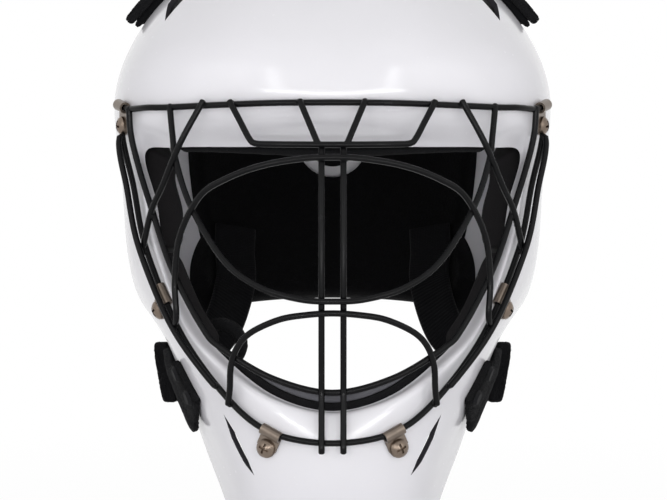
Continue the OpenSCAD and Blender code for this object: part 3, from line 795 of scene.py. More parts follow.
SHELL = GlossShell("white gloss shell", "shell", (0.80, 0.79, 0.825), 0.2)
WIRE = PowderCoat("black powder coat", "wire", (0.0025, 0.0025, 0.003), 0.2)
CLIP_METAL = PlatedMetal("dull nickel sheet", "clip", (0.25, 0.205, 0.17), 0.22)
SCREW_METAL = PlatedMetal("dull nickel screw", "screw", (0.26, 0.205, 0.165), 0.16, (400, 400, 400))
# Painted shade: near-black paint on the vents' cut sides and on the inner wall behind them, for the
# shade inside the slots
VENT_SHADE = MouldedPlastic("painted vent shade", "shell", (0.03, 0.028, 0.033), 0.8)
NUT_METAL = PlatedMetal("zinc nut", "nut", (0.62, 0.63, 0.66), 0.35)
PAD_FOAM = Foam("charcoal foam", "foam", (0.0085, 0.0078, 0.0085), 0.9)
CHIN_FOAM = Foam("grey foam", "grey_foam", (0.12, 0.12, 0.133), 0.8)
PILE = LoopPile("black loop pile", "loop_fabric", (0.008, 0.008, 0.009), 0.95)
FELT = LoopPile("black felt lining", "lining", (0.0025, 0.0025, 0.003), 0.95)
ELASTIC = RibbedElastic("black ribbed elastic", "strap", (0.006, 0.006, 0.0068), 0.9)
BUCKLE_PLASTIC = MouldedPlastic("black moulded plastic", "buckle", (0.014, 0.014, 0.015), 0.4)
RIVET_PLASTIC = MouldedPlastic("black rivet", "rivet", (0.004, 0.004, 0.005), 0.8)


# Forms of the mask, the cage and the back plate


# The mask's five guide loops, each from the brow round the right side to the chin
LOOPS = np.array(
    [
        [
            [0, -94, 207], [45, -90, 207], [80, -77.5, 207], [95.5, -63, 204.5], [90, -60, 180],
            [85, -66, 155], [71, -80, 121], [52, -96, 99], [28, -108, 81.5], [0, -112, 74.5],
        ],
        [
            [0, -114, 227], [46, -107, 227], [85, -88, 226.5], [102, -69, 218], [97.5, -70, 187],
            [91, -78, 156], [75.5, -92, 116], [55.5, -105, 93.5], [30, -116, 76.5], [0, -119, 70],
        ],
        [
            [0, -106, 261], [50, -99, 263], [94, -72, 255], [111, -42, 233], [107.5, -36, 189],
            [102, -44, 147], [82, -62, 107], [63, -84, 74], [38.5, -109, 50], [0, -119, 42],
        ],
        [
            [0, -52, 307], [47, -45, 302], [88, -20, 284], [112, 6, 243], [110, 12, 189],
            [104.5, 2, 139], [85, -24, 106], [62, -62, 55], [39, -100, 24], [0, -112, 20],
        ],
        [
            [0, 24, 318], [42, 30, 311], [79, 44, 289], [106, 58, 246], [108, 60, 190],
            [103, 44, 132], [88, 4, 113], [61, -52, 43], [40, -92, 4.8], [0, -104, 0.75],
        ],
    ],
    float,
)  # fmt: skip
# Stations on one side, stations all round, and the chin's own station
STATIONS = 9
TURN = 18
CHIN = 9.0
HEAD_MIDDLE = np.array([0, 0, 155.0])


@dataclass(frozen=True)
class MaskForm:
    """The mask's outer face: u counts stations round it, v its guide loops.

    u is 0 in the middle of the brow and 9 in the middle of the chin, positive on the
    right. v is 0 at the face opening, 1 on the front crest and 4 at the rear edge.
    """

    loops: Array = field(default_factory=lambda: LOOPS)

    def at(self, u: Array, v: Array) -> Array:
        """Points on the face: each loop is smooth in u, and so are the loops in v.

        Args:
            u: Stations.
            v: Loops, as many as there are stations.

        Returns:
            One point for each pair, in millimetres.
        """
        u, v = np.broadcast_arrays(np.asarray(u, float), np.asarray(v, float))
        left = self.loops[:, 1:STATIONS][:, ::-1] * FLIP
        table = np.concatenate([self.loops, left], axis=1)
        i = np.floor(u).astype(int)
        t = (u - i)[None, ..., None]
        rings = bend(*(table[:, (i + k) % TURN] for k in (-1, 0, 1, 2)), t)
        rings = np.concatenate([[2 * rings[0] - rings[1]], rings, [2 * rings[-1] - rings[-2]]])
        j = np.clip(np.floor(v).astype(int), 0, 3)
        w = (v - j)[..., None]
        pick = np.indices(u.shape)
        return bend(*(rings[(j + k, *pick)] for k in range(4)), w)

    def out(self, u: Array, v: Array) -> Array:
        """Outward direction at each place, from steps along the face both ways.

        Args:
            u: Stations round the mask.
            v: Loops from the face opening back.

        Returns:
            Unit directions.
        """
        u, v = np.broadcast_arrays(np.asarray(u, float), np.asarray(v, float))
        step = 0.02
        up = self.at(u, np.minimum(v + step, 4)) - self.at(u, np.maximum(v - step, 0))
        on = self.at(u + step, v) - self.at(u - step, v)
        return unit(np.cross(on, up))

    def off(self, u: Array, v: Array, height: Array) -> Array:
        """Points at a height over the outer face, or under it where negative."""
        height = np.asarray(height, float)[..., None]
        return self.at(u, v) + height * self.out(u, v)

    def inwards(self, points: Array) -> Array:
        """Direction from points towards the middle of the head, seen from the front.

        Args:
            points: Points, in millimetres.

        Returns:
            Unit directions.
        """
        d = HEAD_MIDDLE - points
        d[..., 1] = 0
        return unit(d)


MASK = MaskForm()
# The back plate's rows, down its middle and down its right edge
PLATE_MIDDLE = np.array(
    [
        [0, 35.6, 316], [0, 74, 307], [0, 110, 283], [0, 131, 246],
        [0, 139.8, 205], [0, 133, 168], [0, 121.5, 128],
    ],
    float,
)  # fmt: skip
PLATE_SIDE = np.array(
    [
        [73, 58.5, 285], [88, 60, 260], [95, 64, 233], [97, 66, 206],
        [95, 67, 178], [88, 70, 150], [73, 81, 115],
    ],
    float,
)  # fmt: skip
PLATE_WALL = 2.6
LINING_T = 9.0
LINING_OUT = -PLATE_WALL - SEAT
LINING_IN = LINING_OUT - LINING_T
PLATE_END = 5.8
WINDOW_Z = 214.0
WINDOW_R = 19.0


@dataclass(frozen=True)
class PlateForm:
    """The back plate's outer face: a is the angle from the middle, t the row."""

    def at(self, a: Array, t: Array) -> Array:
        """Points between each row's middle and its side, shared out by cos a to 0.8.

        Args:
            a: Angles from the middle in degrees, positive on the right.
            t: Rows, 0 at the top edge and 6 at the foot.

        Returns:
            One point for each pair, in millimetres.
        """
        a, t = np.broadcast_arrays(np.asarray(a, float), np.asarray(t, float))
        middle = along(PLATE_MIDDLE, t.ravel()).reshape(*t.shape, 3)
        side = along(PLATE_SIDE, t.ravel()).reshape(*t.shape, 3)
        share = np.maximum(np.cos(np.radians(a)), 0) ** 0.8
        points = side + (middle - side) * share[..., None]
        points[..., 0] = side[..., 0] * np.sin(np.radians(a))
        return points

    def out(self, a: Array, t: Array) -> Array:
        """Outward direction at each place, from steps along the face both ways.

        Args:
            a: Angles round the plate, in degrees.
            t: Rows down the plate.

        Returns:
            Unit directions.
        """
        a, t = np.broadcast_arrays(np.asarray(a, float), np.asarray(t, float))
        on = self.at(np.minimum(a + 0.5, 90), t) - self.at(np.maximum(a - 0.5, -90), t)
        down = self.at(a, np.minimum(t + 0.02, 6)) - self.at(a, np.maximum(t - 0.02, 0))
        return unit(np.cross(on, down))

    def off(self, a: Array, t: Array, height: Array) -> Array:
        """Points at a height over the outer face, or under it where negative."""
        height = np.asarray(height, float)[..., None]
        return self.at(a, t) + height * self.out(a, t)


PLATE = PlateForm()


# Sub-assemblies


@dataclass
class Part:
    """A sub-assembly that rides on one body and reports its pieces."""

    body: str = "mask"
    made: list[str] = field(default_factory=list)

    def settle(
        self,
        piece: bpy.types.Object,
        finish: Finish,
        nodes: Sequence[str],
        padded: float = 0.0,
        across: tuple[tuple[float, float, float], tuple[float, float, float]] | None = None,
    ) -> bpy.types.Object:
        """Dresses a piece, puts it on its body unless it runs onto the back plate, and hides the
        solids it stands for.

        Args:
            piece: The piece.
            finish: Its finish.
            nodes: Solids that it stands for.
            padded: How full it is where it is a pad, otherwise 0; not used.
            across: Given for a piece that runs from the mask onto the back plate, which is then
                left in place on no body; its numbers are not used.

        Returns:
            The same piece.
        """
        finish.dress(piece)
        if across:
            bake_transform(piece)
        else:
            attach(piece, self.body)
        if nodes:
            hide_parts(*nodes)
        self.made.append(piece.name)
        LOG.info("%s: %d faces on %s", piece.name, len(piece.data.polygons), self.body)
        return piece


@dataclass(frozen=True)
class Vent:
    """A slot in the mask between two places on it, given as station and loop."""

    ends: tuple[tuple[float, float], tuple[float, float]]
    width: float
    # How far from a vent's middle the painted shade on the inner wall reaches, in millimetres
    reach: float = 34.0

    def frame(self) -> tuple[Array, Array, Array, Array, float]:
        """Works out where the slot lies on the mask.

        Returns:
            Its middle, the directions across, along and out, and half its length.
        """
        (u0, v0), (u1, v1) = self.ends
        a, b = MASK.at(u0, v0), MASK.at(u1, v1)
        out = MASK.out((u0 + u1) / 2, (v0 + v1) / 2)
        run = square_to(b - a, out)
        return (a + b) / 2, np.cross(run, out), run, out, float(np.linalg.norm(b - a)) / 2

    def prism(self, side: Side) -> bpy.types.Object:
        """A six-cornered prism through the wall, as the mould's slide cuts the slot.

        Args:
            side: Side of the helmet.

        Returns:
            The prism, as a closed piece.
        """
        middle, across, run, out, half = self.frame()
        w = self.width
        corners = np.array(
            [
                [0, -half], [w / 2, -half * 0.3], [w * 0.4, half * 0.5],
                [0, half], [-w * 0.4, half * 0.5], [-w / 2, -half * 0.3],
            ]
        )  # fmt: skip
        flat = middle + corners[:, :1] * across + corners[:, 1:] * run
        points = np.concatenate([flat - 4 * WALL * out, flat + 4 * WALL * out]) * side.flip
        faces = grid_faces(2, 6, around=True).tolist() + [list(range(6))[::-1], list(range(6, 12))]
        prism = new_piece("vent_prism", points * MM, faces, soft=False)
        face_outwards(prism)
        return prism


@dataclass
class MaskShell(Part):
    """The moulded mask with its vents."""

    crown: Vent = Vent(((1.8, 2.42), (1.42, 3.3)), 15.0)
    chin: Vent = Vent(((7.3, 1.72), (8.0, 2.3)), 4.5, 7.0)
    crest_loops: tuple = (0, 1 / 3, 2 / 3, 1, 4 / 3, 5 / 3)
    crest_wall: tuple = (1, 0.65, 0.4, 0.4, 0.8, 1)
    slot_margin: float = 0.5
    round_steps: int = 14
    across_steps: int = 18

    def build(self) -> bpy.types.Object:
        """Skins the mask at a fine step, opens the vents and joins the walls.

        Returns:
            The shell.
        """
        u = np.arange(TURN * self.round_steps) / self.round_steps
        v = np.linspace(0, 4, 4 * self.across_steps + 1)
        uu, vv = np.meshgrid(u, v, indexing="ij")
        outer = MASK.at(uu, vv)
        wall = WALL * np.interp(vv, self.crest_loops, self.crest_wall)
        inner = outer - wall[..., None] * MASK.out(uu, vv)
        keep = np.ones((len(u), len(v) - 1), bool)
        piece = walled("mask_skin", outer, inner, keep, True)
        for vent in (self.crown, self.chin):
            for side in Side:
                cut_through(piece, vent.prism(side))
        bevel(piece, 0.6, 3)
        self.settle(piece, SHELL, ["mask_shell"])
        self._paint_vent_shade(piece)
        return piece

    def _paint_vent_shade(self, piece: bpy.types.Object) -> None:
        """Paints shade, in near-black, on the slots' sides and on the inner wall near them.

        A face is on a slot's side where it lies in the slot's outline and doesn't look
        outwards, and on the inner wall where it looks inwards within the vent's reach.

        Args:
            piece: The mask, with its vents cut.
        """
        # The mask's second material is painted shade, for the dark inside the vents
        piece.data.materials.append(VENT_SHADE.material())
        faces = piece.data.polygons
        centres, normals = np.empty(len(faces) * 3), np.empty(len(faces) * 3)
        faces.foreach_get("center", centres)
        faces.foreach_get("normal", normals)
        centres, normals = centres.reshape(-1, 3) / MM, normals.reshape(-1, 3)
        painted_shade = np.zeros(len(faces), bool)
        for vent in (self.crown, self.chin):
            middle, across, run, out, half = vent.frame()
            for side in Side:
                near = centres * side.flip - middle
                height, facing = near @ out, normals * side.flip @ out
                within = np.linalg.norm(near, axis=1) < vent.reach
                behind = within & (height < -0.35 * WALL) & (facing < -0.3)
                slot = np.abs(near @ across) < vent.width / 2 + self.slot_margin
                slot &= np.abs(near @ run) < half + self.slot_margin
                painted_shade |= behind | slot & (np.abs(height) < 3 * WALL) & (facing < 0.5)
        faces.foreach_set("material_index", painted_shade.astype(np.int32))


@dataclass
class BackPlate(Part):
    """The hinged back plate with its felt lining, window and plug."""

    body: str = "back"
    lining_angle: float = 7 * 90 / 11
    lining_top: float = 1.5
    lining_foot: float = 6.0
    foot_angle: float = 80.0
    skin_top: float = 0.06
    skin_grid: tuple[int, int] = (121, 73)
    lining_grid: tuple[int, int] = (161, 127)
    edge_run: float = 2.2

    def build(self) -> None:
        """Makes the plate and its lining, and dresses the plug and the rivets."""
        rows, columns = self.skin_grid
        a, t = np.meshgrid(
            np.linspace(-90, 90, rows),
            np.linspace(self.skin_top, PLATE_END, columns),
            indexing="ij",
        )
        outer, inner = PLATE.at(a, t), PLATE.off(a, t, np.full(a.shape, -PLATE_WALL))
        keep = np.ones((rows - 1) * (columns - 1), bool)
        plate = walled("plate_skin", outer, inner, keep, False)
        bevel(plate, 0.5)
        self.settle(plate, SHELL, ["back_plate"])
        self._lining()
        dress_node("lining_plug", FELT, 0.5)
        dress_node("plate_rivets", RIVET_PLASTIC, 0.3)

    def _lining(self) -> None:
        """A felt pad on the plate's inner wall, with a round window cut through it."""
        rows, columns = self.lining_grid
        side, t = np.meshgrid(
            np.linspace(-1, 1, rows),
            np.linspace(self.lining_top, self.lining_foot, columns),
            indexing="ij",
        )
        # The foot widens between rows 5 and 5.5
        wide = self.foot_angle - self.lining_angle
        a = side * (self.lining_angle + wide * np.clip(2 * t - 10, 0, 1))
        outer = PLATE.off(a, t, np.full(a.shape, LINING_OUT))
        edge = np.minimum(1 - np.abs(side), (self.lining_foot - t) / self.edge_run)
        edge = np.minimum(edge, (t - self.lining_top) / self.edge_run)
        full = 1 - 0.45 * np.exp(-np.maximum(edge, 0) * 60)
        inner = PLATE.off(a, t, LINING_OUT - LINING_T * full)
        quads = grid_faces(*outer.shape[:2])
        flat, flat_in = outer.reshape(-1, 3), inner.reshape(-1, 3)
        turn = np.linspace(0, 2 * np.pi, 72, endpoint=False)
        ring = WINDOW_R * np.stack([np.cos(turn), np.sin(turn)], axis=1)
        places = flat[:, [0, 2]] - np.array([0, WINDOW_Z])
        _, inside = nearest_on_outline(places[quads].mean(axis=1), ring)
        rim = np.intersect1d(quads[inside], quads[~inside])
        for skin in (flat, flat_in):
            spot = skin[rim][:, [0, 2]] - np.array([0, WINDOW_Z])
            near, _ = nearest_on_outline(spot, ring)
            skin[rim, 0] = near[:, 0]
            skin[rim, 2] = near[:, 1] + WINDOW_Z
        outer, inner = flat.reshape(outer.shape), flat_in.reshape(outer.shape)
        lining = walled("felt_lining", outer, inner, ~inside, False)
        bevel(lining, 1.4, 3)
        self.settle(lining, FELT, ["back_lining"], padded=0.9)


def dress_node(name: str, finish: Finish, rounding: float = 0.0) -> None:
    """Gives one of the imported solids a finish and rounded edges.

    Args:
        name: The solid's node.
        finish: Its finish.
        rounding: Width of the rounding in millimetres, or 0 for none.
    """
    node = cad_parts[name]
    finish.dress(node)
    if rounding:
        bevel(node, rounding, 2, 35)
    LOG.info("%s: dressed in %s", name, finish.name)


@dataclass
class Padding(Part):
    """Foam pads and pile bands inside the mask."""

    brow_span: float = 2.8
    brow_drop: float = 2.34
    brow_step: tuple = (0, 14.0, 2.6)
    brow_rear: tuple[float, float] = (2.2, 9.0)
    temple: tuple = ((2.92, 4.92), 3.0, (21.0, 13.44), 16.8)
    cheek: tuple = ((4.98, 6.55), 2.6, (10.0, 9.0), 10.0)
    crease: tuple[float, float] = (0.34, 0.5)
    crown_span: tuple = ((-2.25, 2.25), (8 / 3, 10 / 3))
    crown_t: float = 9.0
    sweat_span: float = 2.1
    sweat_t: float = 5.0
    sweat_run: tuple = (0, 16.0, 3.0)
    pile_t: float = 6.0
    cushion_t: float = 3.2
    chin_depth: float = 17.0

    def build(self) -> None:
        """Makes every pad as a rounded box laid between the opening and the wall."""
        self._brow()
        self._crown()
        self._sweatband()
        for side in Side:
            self._side_pad(side, "temple", self.crease[0], *self.temple)
            self._side_pad(side, "cheek", self.crease[1], *self.cheek)
        low, high = (SEAT, SEAT + self.pile_t), 2 * SEAT + self.pile_t
        self._chin_layer("chin_pile", "chin_band", (6.7, 40), low, PILE)
        heights = high, high + self.cushion_t
        self._chin_layer("chin_cushion", "chin_foam", (7.15, 3), heights, CHIN_FOAM)

    def _front_edge(self, u: Array) -> tuple[Array, Array]:
        """Points just inside the face opening's edge, and the way in from them.

        Args:
            u: Stations round the face opening.

        Returns:
            The points, and the unit directions inwards.
        """
        lip = MASK.at(u, np.zeros_like(u))
        a = MASK.off(u, np.zeros_like(u), np.full(u.shape, -WALL)) + np.array([0, SEAT, 0])
        return a + SEAT * MASK.inwards(lip.copy()), MASK.inwards(a.copy())

    def _lay(
        self,
        span: tuple[float, float],
        loop: float,
        depth: Callable[[Array, Array], Array],
        side: Side,
    ) -> Mapping:
        """Mapping of a pad whose outer side runs from the opening to a loop.

        Args:
            span: First and last station.
            loop: Loop that the outer side reaches on the mask's inner wall.
            depth: Thickness in millimetres from how far along and across a place is.
            side: Side of the helmet.

        Returns:
            The mapping from the unit box.
        """

        def place(s: Array, f: Array, h: Array) -> Array:
            """Carries places in the unit box to the pad.

            Args:
                s: Places along, from 0 to 1.
                f: Places across, from 0 to 1.
                h: Places through the thickness, from 0 to 1.

            Returns:
                Points, one for each place.
            """
            u = span[0] + (span[1] - span[0]) * s
            a, way_a = self._front_edge(u)
            b = MASK.off(u, np.full(u.shape, loop), np.full(u.shape, -WALL - SEAT))
            way_b = MASK.inwards(b.copy())
            p = a + (b - a) * f[:, None]
            way = way_a + (way_b - way_a) * f[:, None]
            return (p + way * (depth(s, f) * h)[:, None]) * side.flip

        return place

    def _brow(self) -> None:
        """The brow pad: its lower face runs back, and its rear face up to loop 2.2."""

        def place(s: Array, f: Array, h: Array) -> Array:
            """Between the wall's side and the inner side, whose corner is at 0.3.

            Args:
                s: Places along, from 0 to 1.
                f: Places across, from 0 to 1.
                h: Places through the thickness, from 0 to 1.

            Returns:
                Points, one for each place.
            """
            u = self.brow_span * (2 * s - 1)
            full = (1 - 0.3 * np.abs(2 * s - 1) ** 8)[:, None]
            a, way = self._front_edge(u)
            loop, thick = np.full(u.shape, self.brow_rear[0]), self.brow_rear[1]
            b = MASK.off(u, loop, np.full(u.shape, -WALL - 2 * SEAT))
            low = a + way * self.brow_drop * full
            corner = low + np.array(self.brow_step) * full
            high = b - MASK.out(u, loop) * thick * full
            under, rear = np.clip(f / 0.3, 0, 1)[:, None], np.clip((f - 0.3) / 0.7, 0, 1)[:, None]
            inner = low + (corner - low) * under + (high - corner) * rear
            outer = a + (b - a) * f[:, None]
            return outer + (inner - outer) * h[:, None]

        box = soft_box("brow_foam", place, (150, 64), (0.06, 0.1))
        self.settle(box, PAD_FOAM, ["brow_pad"], padded=0.9)

    def _side_pad(
        self,
        side: Side,
        kind: str,
        crease: float,
        span: tuple[float, float],
        loop: float,
        fronts: tuple[float, float],
        rear: float,
    ) -> None:
        """A temple or cheek pad, with the fold that the real one has along its face.

        Args:
            side: Side of the helmet.
            kind: First word of its name.
            crease: Share of its face where the fold lies.
            span: Stations that it runs between.
            loop: Loop that it runs back to.
            fronts: Its depth at the front edge, at its two ends.
            rear: Its depth at the rear edge.
        """

        def depth(s: Array, f: Array) -> Array:
            """Depth drawn in at both ends, with a shallow groove along the face.

            Args:
                s: Places along, from 0 to 1.
                f: Places back from the front edge, from 0 to 1.

            Returns:
                Depths, in millimetres.
            """
            full = 1 - 0.3 * np.abs(2 * s - 1) ** 8
            front = fronts[0] + (fronts[1] - fronts[0]) * s
            groove = 1 - 0.05 * np.exp(-(((f - crease) / 0.03) ** 2))
            return (front + (rear - front) * f) * full * groove * (1 + 0.06 * np.sin(np.pi * f))

        name = f"{kind}_foam_{side.word}"
        box = soft_box(name, self._lay(span, loop, depth, side), (64, 72), (0.1, 0.16))
        self.settle(box, PAD_FOAM, [f"{kind}_pad_{side.word}"], padded=0.95)

    def _crown(self) -> None:
        """The crown pad, laid on the mask's inner wall."""

        def place(s: Array, f: Array, h: Array) -> Array:
            """Stations by s, loops by f, and depth under the wall by h."""
            u, v = (low + (high - low) * t for (low, high), t in zip(self.crown_span, (s, f)))
            return MASK.off(u, v, -WALL - SEAT - self.crown_t * h)

        box = soft_box("crown_foam", place, (110, 48), (0.08, 0.25))
        self.settle(box, PAD_FOAM, ["crown_pad"], padded=0.9)

    def _sweatband(self) -> None:
        """The brushed sweatband under the brow pad, slightly puckered along its run."""

        def place(s: Array, f: Array, h: Array) -> Array:
            """Runs back by f and in by h from the brow pad's lower side.

            Args:
                s: Places along, from 0 to 1.
                f: Places across, from 0 to 1.
                h: Places through the thickness, from 0 to 1.

            Returns:
                Points, one for each place.
            """
            u = self.sweat_span * (2 * s - 1)
            a, way = self._front_edge(u)
            top = a + np.array([0, 0.5, 0]) + way * (self.brow_drop + SEAT)
            pucker = 1 + 0.05 * np.sin(s * 90) * (0.3 + 0.7 * f)
            full = self.sweat_t * (1 - 0.2 * np.abs(2 * f - 1) ** 4) * pucker
            return top + np.array(self.sweat_run) * f[:, None] + way * (full * h)[:, None]

        box = soft_box("sweat_pile", place, (220, 40), (0.05, 0.45))
        self.settle(box, PILE, ["sweatband"], padded=0.8)

    def _chin_layer(
        self,
        name: str,
        node: str,
        run: tuple[float, int],
        heights: tuple[float, float],
        finish: Finish,
    ) -> None:
        """One of the two bands that lie on each other inside the chin.

        Args:
            name: Name of the piece.
            node: Solid that it stands for.
            run: Station where it starts, and the power by which it thins to its ends.
            heights: Heights of its two faces off the wall, in millimetres.
            finish: Its finish.
        """

        def place(s: Array, f: Array, h: Array) -> Array:
            """Stations by s, depth from the front by f, height off the wall by h.

            Args:
                s: Places along, from 0 to 1.
                f: Places across, from 0 to 1.
                h: Places through the thickness, from 0 to 1.

            Returns:
                Points, one for each place.
            """
            u = run[0] + (TURN - 2 * run[0]) * s
            lip = MASK.off(u, np.zeros_like(u), np.full(u.shape, -WALL)) + np.array([0, SEAT, 0])
            way = MASK.inwards(lip.copy())
            ends = 1 - 0.85 * np.abs(2 * s - 1) ** run[1]
            height = heights[0] + (heights[1] - heights[0]) * h * ends
            return lip + way * height[:, None] + np.array([0, self.chin_depth, 0]) * f[:, None]

        box = soft_box(name, place, (130, 36), (0.06, 0.2))
        self.settle(box, finish, [node], padded=0.9)


@dataclass(frozen=True)
class CageForm:
    """The curved sheet that the cage's wires lie on, and the rim round the mask."""

    bulge: float = 19.0
    middle_y: float = -118.7
    fall: tuple[float, float] = (44, 2.4)
    eye_level: tuple[float, float] = (155, 72)
    rim_loops: tuple[float, ...] = (1.28, 1.12, 1.1, 1.0, 1.26, 1.44, 1.45)

    def on_sheet(self, q: Array) -> Array:
        """Points of a wire: the sheet falls back with the width and bulges at eye level.

        Args:
            q: Rows of sideways place, height and layer.

        Returns:
            One point for each row, in millimetres.
        """
        q = np.asarray(q, float)
        e = np.abs(q[:, 0]) / 100
        level, reach = self.eye_level
        h = np.maximum(1 - ((q[:, 1] - level) / reach) ** 2, 0)
        y = self.middle_y + self.fall[0] * e ** self.fall[1]
        y -= self.bulge * h * np.maximum(0, 1 - e * e)
        return np.stack([q[:, 0], y - q[:, 2] * LAYER, q[:, 1]], axis=1)

    def rim(self, u: Array, height: float = HELD) -> Array:
        """Points over the mask's crest from station 3 on, where the rim wire lies.

        Args:
            u: Stations.
            height: How far the points are over the mask.

        Returns:
            Points, in millimetres.
        """
        u = np.atleast_1d(np.asarray(u, float))
        v = along(np.array(self.rim_loops)[:, None], u - 3)[:, 0]
        return MASK.off(u, v, np.full(u.shape, height))


CAGE = CageForm()


@dataclass
class Cage(Part):
    """The welded wire cage."""

    top_bar: tuple = (
        (0, 228.6, 0), (30, 228.4, 0), (60, 227.6, 0), (84, 226.9, 0.8), (94, 227, 1.5),
    )  # fmt: skip
    bar_rear: tuple = ((2.66, 1.2), (2.74, 1.29), (2.81, 1.38), (2.88, 1.52))
    inner_frame: tuple = (
        (103.5, 226.6, 1), (102.3, 213, 0.4), (98, 196, 0), (91.5, 176, 0), (81, 146, 0),
        (65, 116, 0), (55.5, 106, 0), (30, 91, 0), (0, 83.8, 0),
    )  # fmt: skip
    lower_eye: tuple = (
        (82, 227.3, 1), (80.5, 213, 1), (78.5, 199, 1), (70.5, 176, 1), (53.8, 149.5, 1),
        (36.3, 136.5, 1), (16.5, 130.6, 1), (0, 129.5, 1),
    )  # fmt: skip
    upper_eye: tuple = (
        (78.4, 122, 1), (79.2, 140, 1.1), (76.5, 162, 1.6), (66.5, 181.5, 2), (54, 190, 1.7),
        (36.3, 196.6, 1.2), (16, 200.2, 1), (0, 201, 1),
    )  # fmt: skip
    mouth: tuple = (
        (51.3, 86, 1), (50.7, 97, 1), (47.2, 107, 1), (40.2, 114.2, 1), (26.6, 120.4, 1),
        (13.8, 122.7, 1), (0, 123.6, 1),
    )  # fmt: skip
    brow: tuple = (
        (51.5, 229.4, 1), (46, 219, 1), (41.5, 210.6, 1), (38.5, 208.1, 1), (30, 207.6, 1),
        (15, 207.4, 1), (0, 207.3, 1),
    )  # fmt: skip
    brace: tuple = ((65, 229.6, 1), (76.5, 208.5, 1.95), (85.5, 187.5, 1.6), (91.5, 174.5, 1.2))
    strut: tuple = ((16.3, 229.4, 1), (7.6, 208.6, 1))
    outer: tuple = (
        (3.3, 1), (3.42, 1.7), (3.72, 2.3), (4.3, 2.7), (5, 2.6), (5.8, 2.1), (6.5, 1.4), (7.05, 1),
    )  # fmt: skip
    bar_gap: float = 10.9
    upright: tuple = (
        (206.6, 0), (190, 0), (170, 0), (150, 0), (130, 0), (112, 0), (97, 0.6), (84, 1),
    )  # fmt: skip
    upper_eye_end: float = 5.98
    mouth_end: float = 7.41
    brace_end: float = 5.02
    rim_start: float = 3.27
    steps: int = 14
    path_step: float = 1.2
    weld_reach: float = 1.1
    weld_skip: int = 12
    bead_grid: tuple[int, int] = (7, 12)
    bead_radii: tuple[float, float] = (1.55, 2.0)

    def _whole(self, half: Array) -> Array:
        """A wire that is half on each side, from its right end through the middle.

        Args:
            half: Points from its right end to its middle.

        Returns:
            Points along the whole wire.
        """
        ext = np.concatenate([half, half[-2:-1] * FLIP])
        bent = along(ext, np.linspace(0, len(half) - 1, (len(half) - 1) * self.steps + 1))
        return np.concatenate([bent, bent[-2::-1] * FLIP])

    def _across(self, table: Sequence[Sequence[float]]) -> Array:
        """A mirrored wire on the sheet, smoothed in the sheet's own places.

        Args:
            table: Places of its right half on the sheet, from its end to its middle.

        Returns:
            Its path, in millimetres.
        """
        q = np.array(table, float)
        whole = self._whole(q)
        past = np.arange(len(whole)) >= (len(q) - 1) * self.steps
        whole[:, 0] = np.where(past, -1, 1) * np.abs(whole[:, 0])
        return CAGE.on_sheet(whole)

    def _top_bar(self) -> Array:
        """The top bar, which bends back at both ends into the temple clips.

        Returns:
            Its path, in millimetres.
        """
        front = CAGE.on_sheet(np.array(self.top_bar, float))
        u, v = np.array(self.bar_rear).T
        rear = MASK.off(u, v, np.full(u.shape, HELD))
        bent = smooth(np.concatenate([front, rear]), self.steps)
        return np.concatenate([bent[:0:-1], bent * FLIP])

    def _upright(self) -> Array:
        """Right upright bar, from the brow bar down over the frame and the rim wire.

        Returns:
            Its path, in millimetres.
        """
        x = self.bar_gap / 2
        top = CAGE.on_sheet(np.array([(x, z, layer) for z, layer in self.upright], float))
        rim = CAGE.rim(CHIN, HELD + LAYER)[0]
        ends = np.array([[x, rim[1], rim[2]], [x, rim[1] + 0.3, rim[2] - 1.4 * WIRE_D]])
        return smooth(np.concatenate([top, ends]), self.steps)

    def _outer(self) -> Array:
        """Right outer wire, which stands off the rim wire half outwards, half forwards.

        Returns:
            Its path, in millimetres.
        """
        q = smooth(np.array(self.outer, float), self.steps)
        off = unit(MASK.out(q[:, 0], np.ones(len(q))) + np.array([0, -1, 0]))
        return CAGE.rim(q[:, 0]) + q[:, 1:] * LAYER * off

    def _arch(self, end: float, table: Sequence[Sequence[float]]) -> Array:
        """An arch whose two ends lie on the rim wire at a station."""
        half = np.concatenate([CAGE.rim(end, HELD + LAYER), CAGE.on_sheet(np.array(table, float))])
        return self._whole(half)

    def paths(self) -> dict[str, Array]:
        """Works out the middle of every wire.

        Returns:
            Path of each wire by the node that it stands for, in millimetres.
        """
        foot = CAGE.rim(self.brace_end, HELD + LAYER)
        brace = np.concatenate([CAGE.on_sheet(np.array(self.brace)), foot])
        half_rim = CAGE.rim(np.linspace(self.rim_start, CHIN, 140))
        lone = {
            "upright_bar": self._upright(),
            "brow_strut": smooth(CAGE.on_sheet(np.array(self.strut)), 8),
            "side_brace": smooth(brace, self.steps),
            "outer_wire": self._outer(),
        }
        paths = {
            "top_bar": self._top_bar(),
            "inner_frame_wire": self._across(self.inner_frame),
            "rim_wire": np.concatenate([half_rim, half_rim[-2::-1] * FLIP]),
            "upper_eye_arch": self._arch(self.upper_eye_end, self.upper_eye),
            "lower_eye_arc": self._across(self.lower_eye),
            "mouth_arch": self._arch(self.mouth_end, self.mouth),
            "brow_bar": self._across(self.brow),
        }
        for name, path in lone.items():
            paths[f"{name}_right"] = path
            paths[f"{name}_left"] = path * FLIP
        return paths

    def build(self) -> None:
        """Sweeps each wire and puts a bead on each weld."""
        paths = {name: even_path(path, self.path_step) for name, path in self.paths().items()}
        for name, path in paths.items():
            self.settle(tube(f"{name}_coated", path, WIRE_D / 2), WIRE, [name])
        self._beads(list(paths.values()))

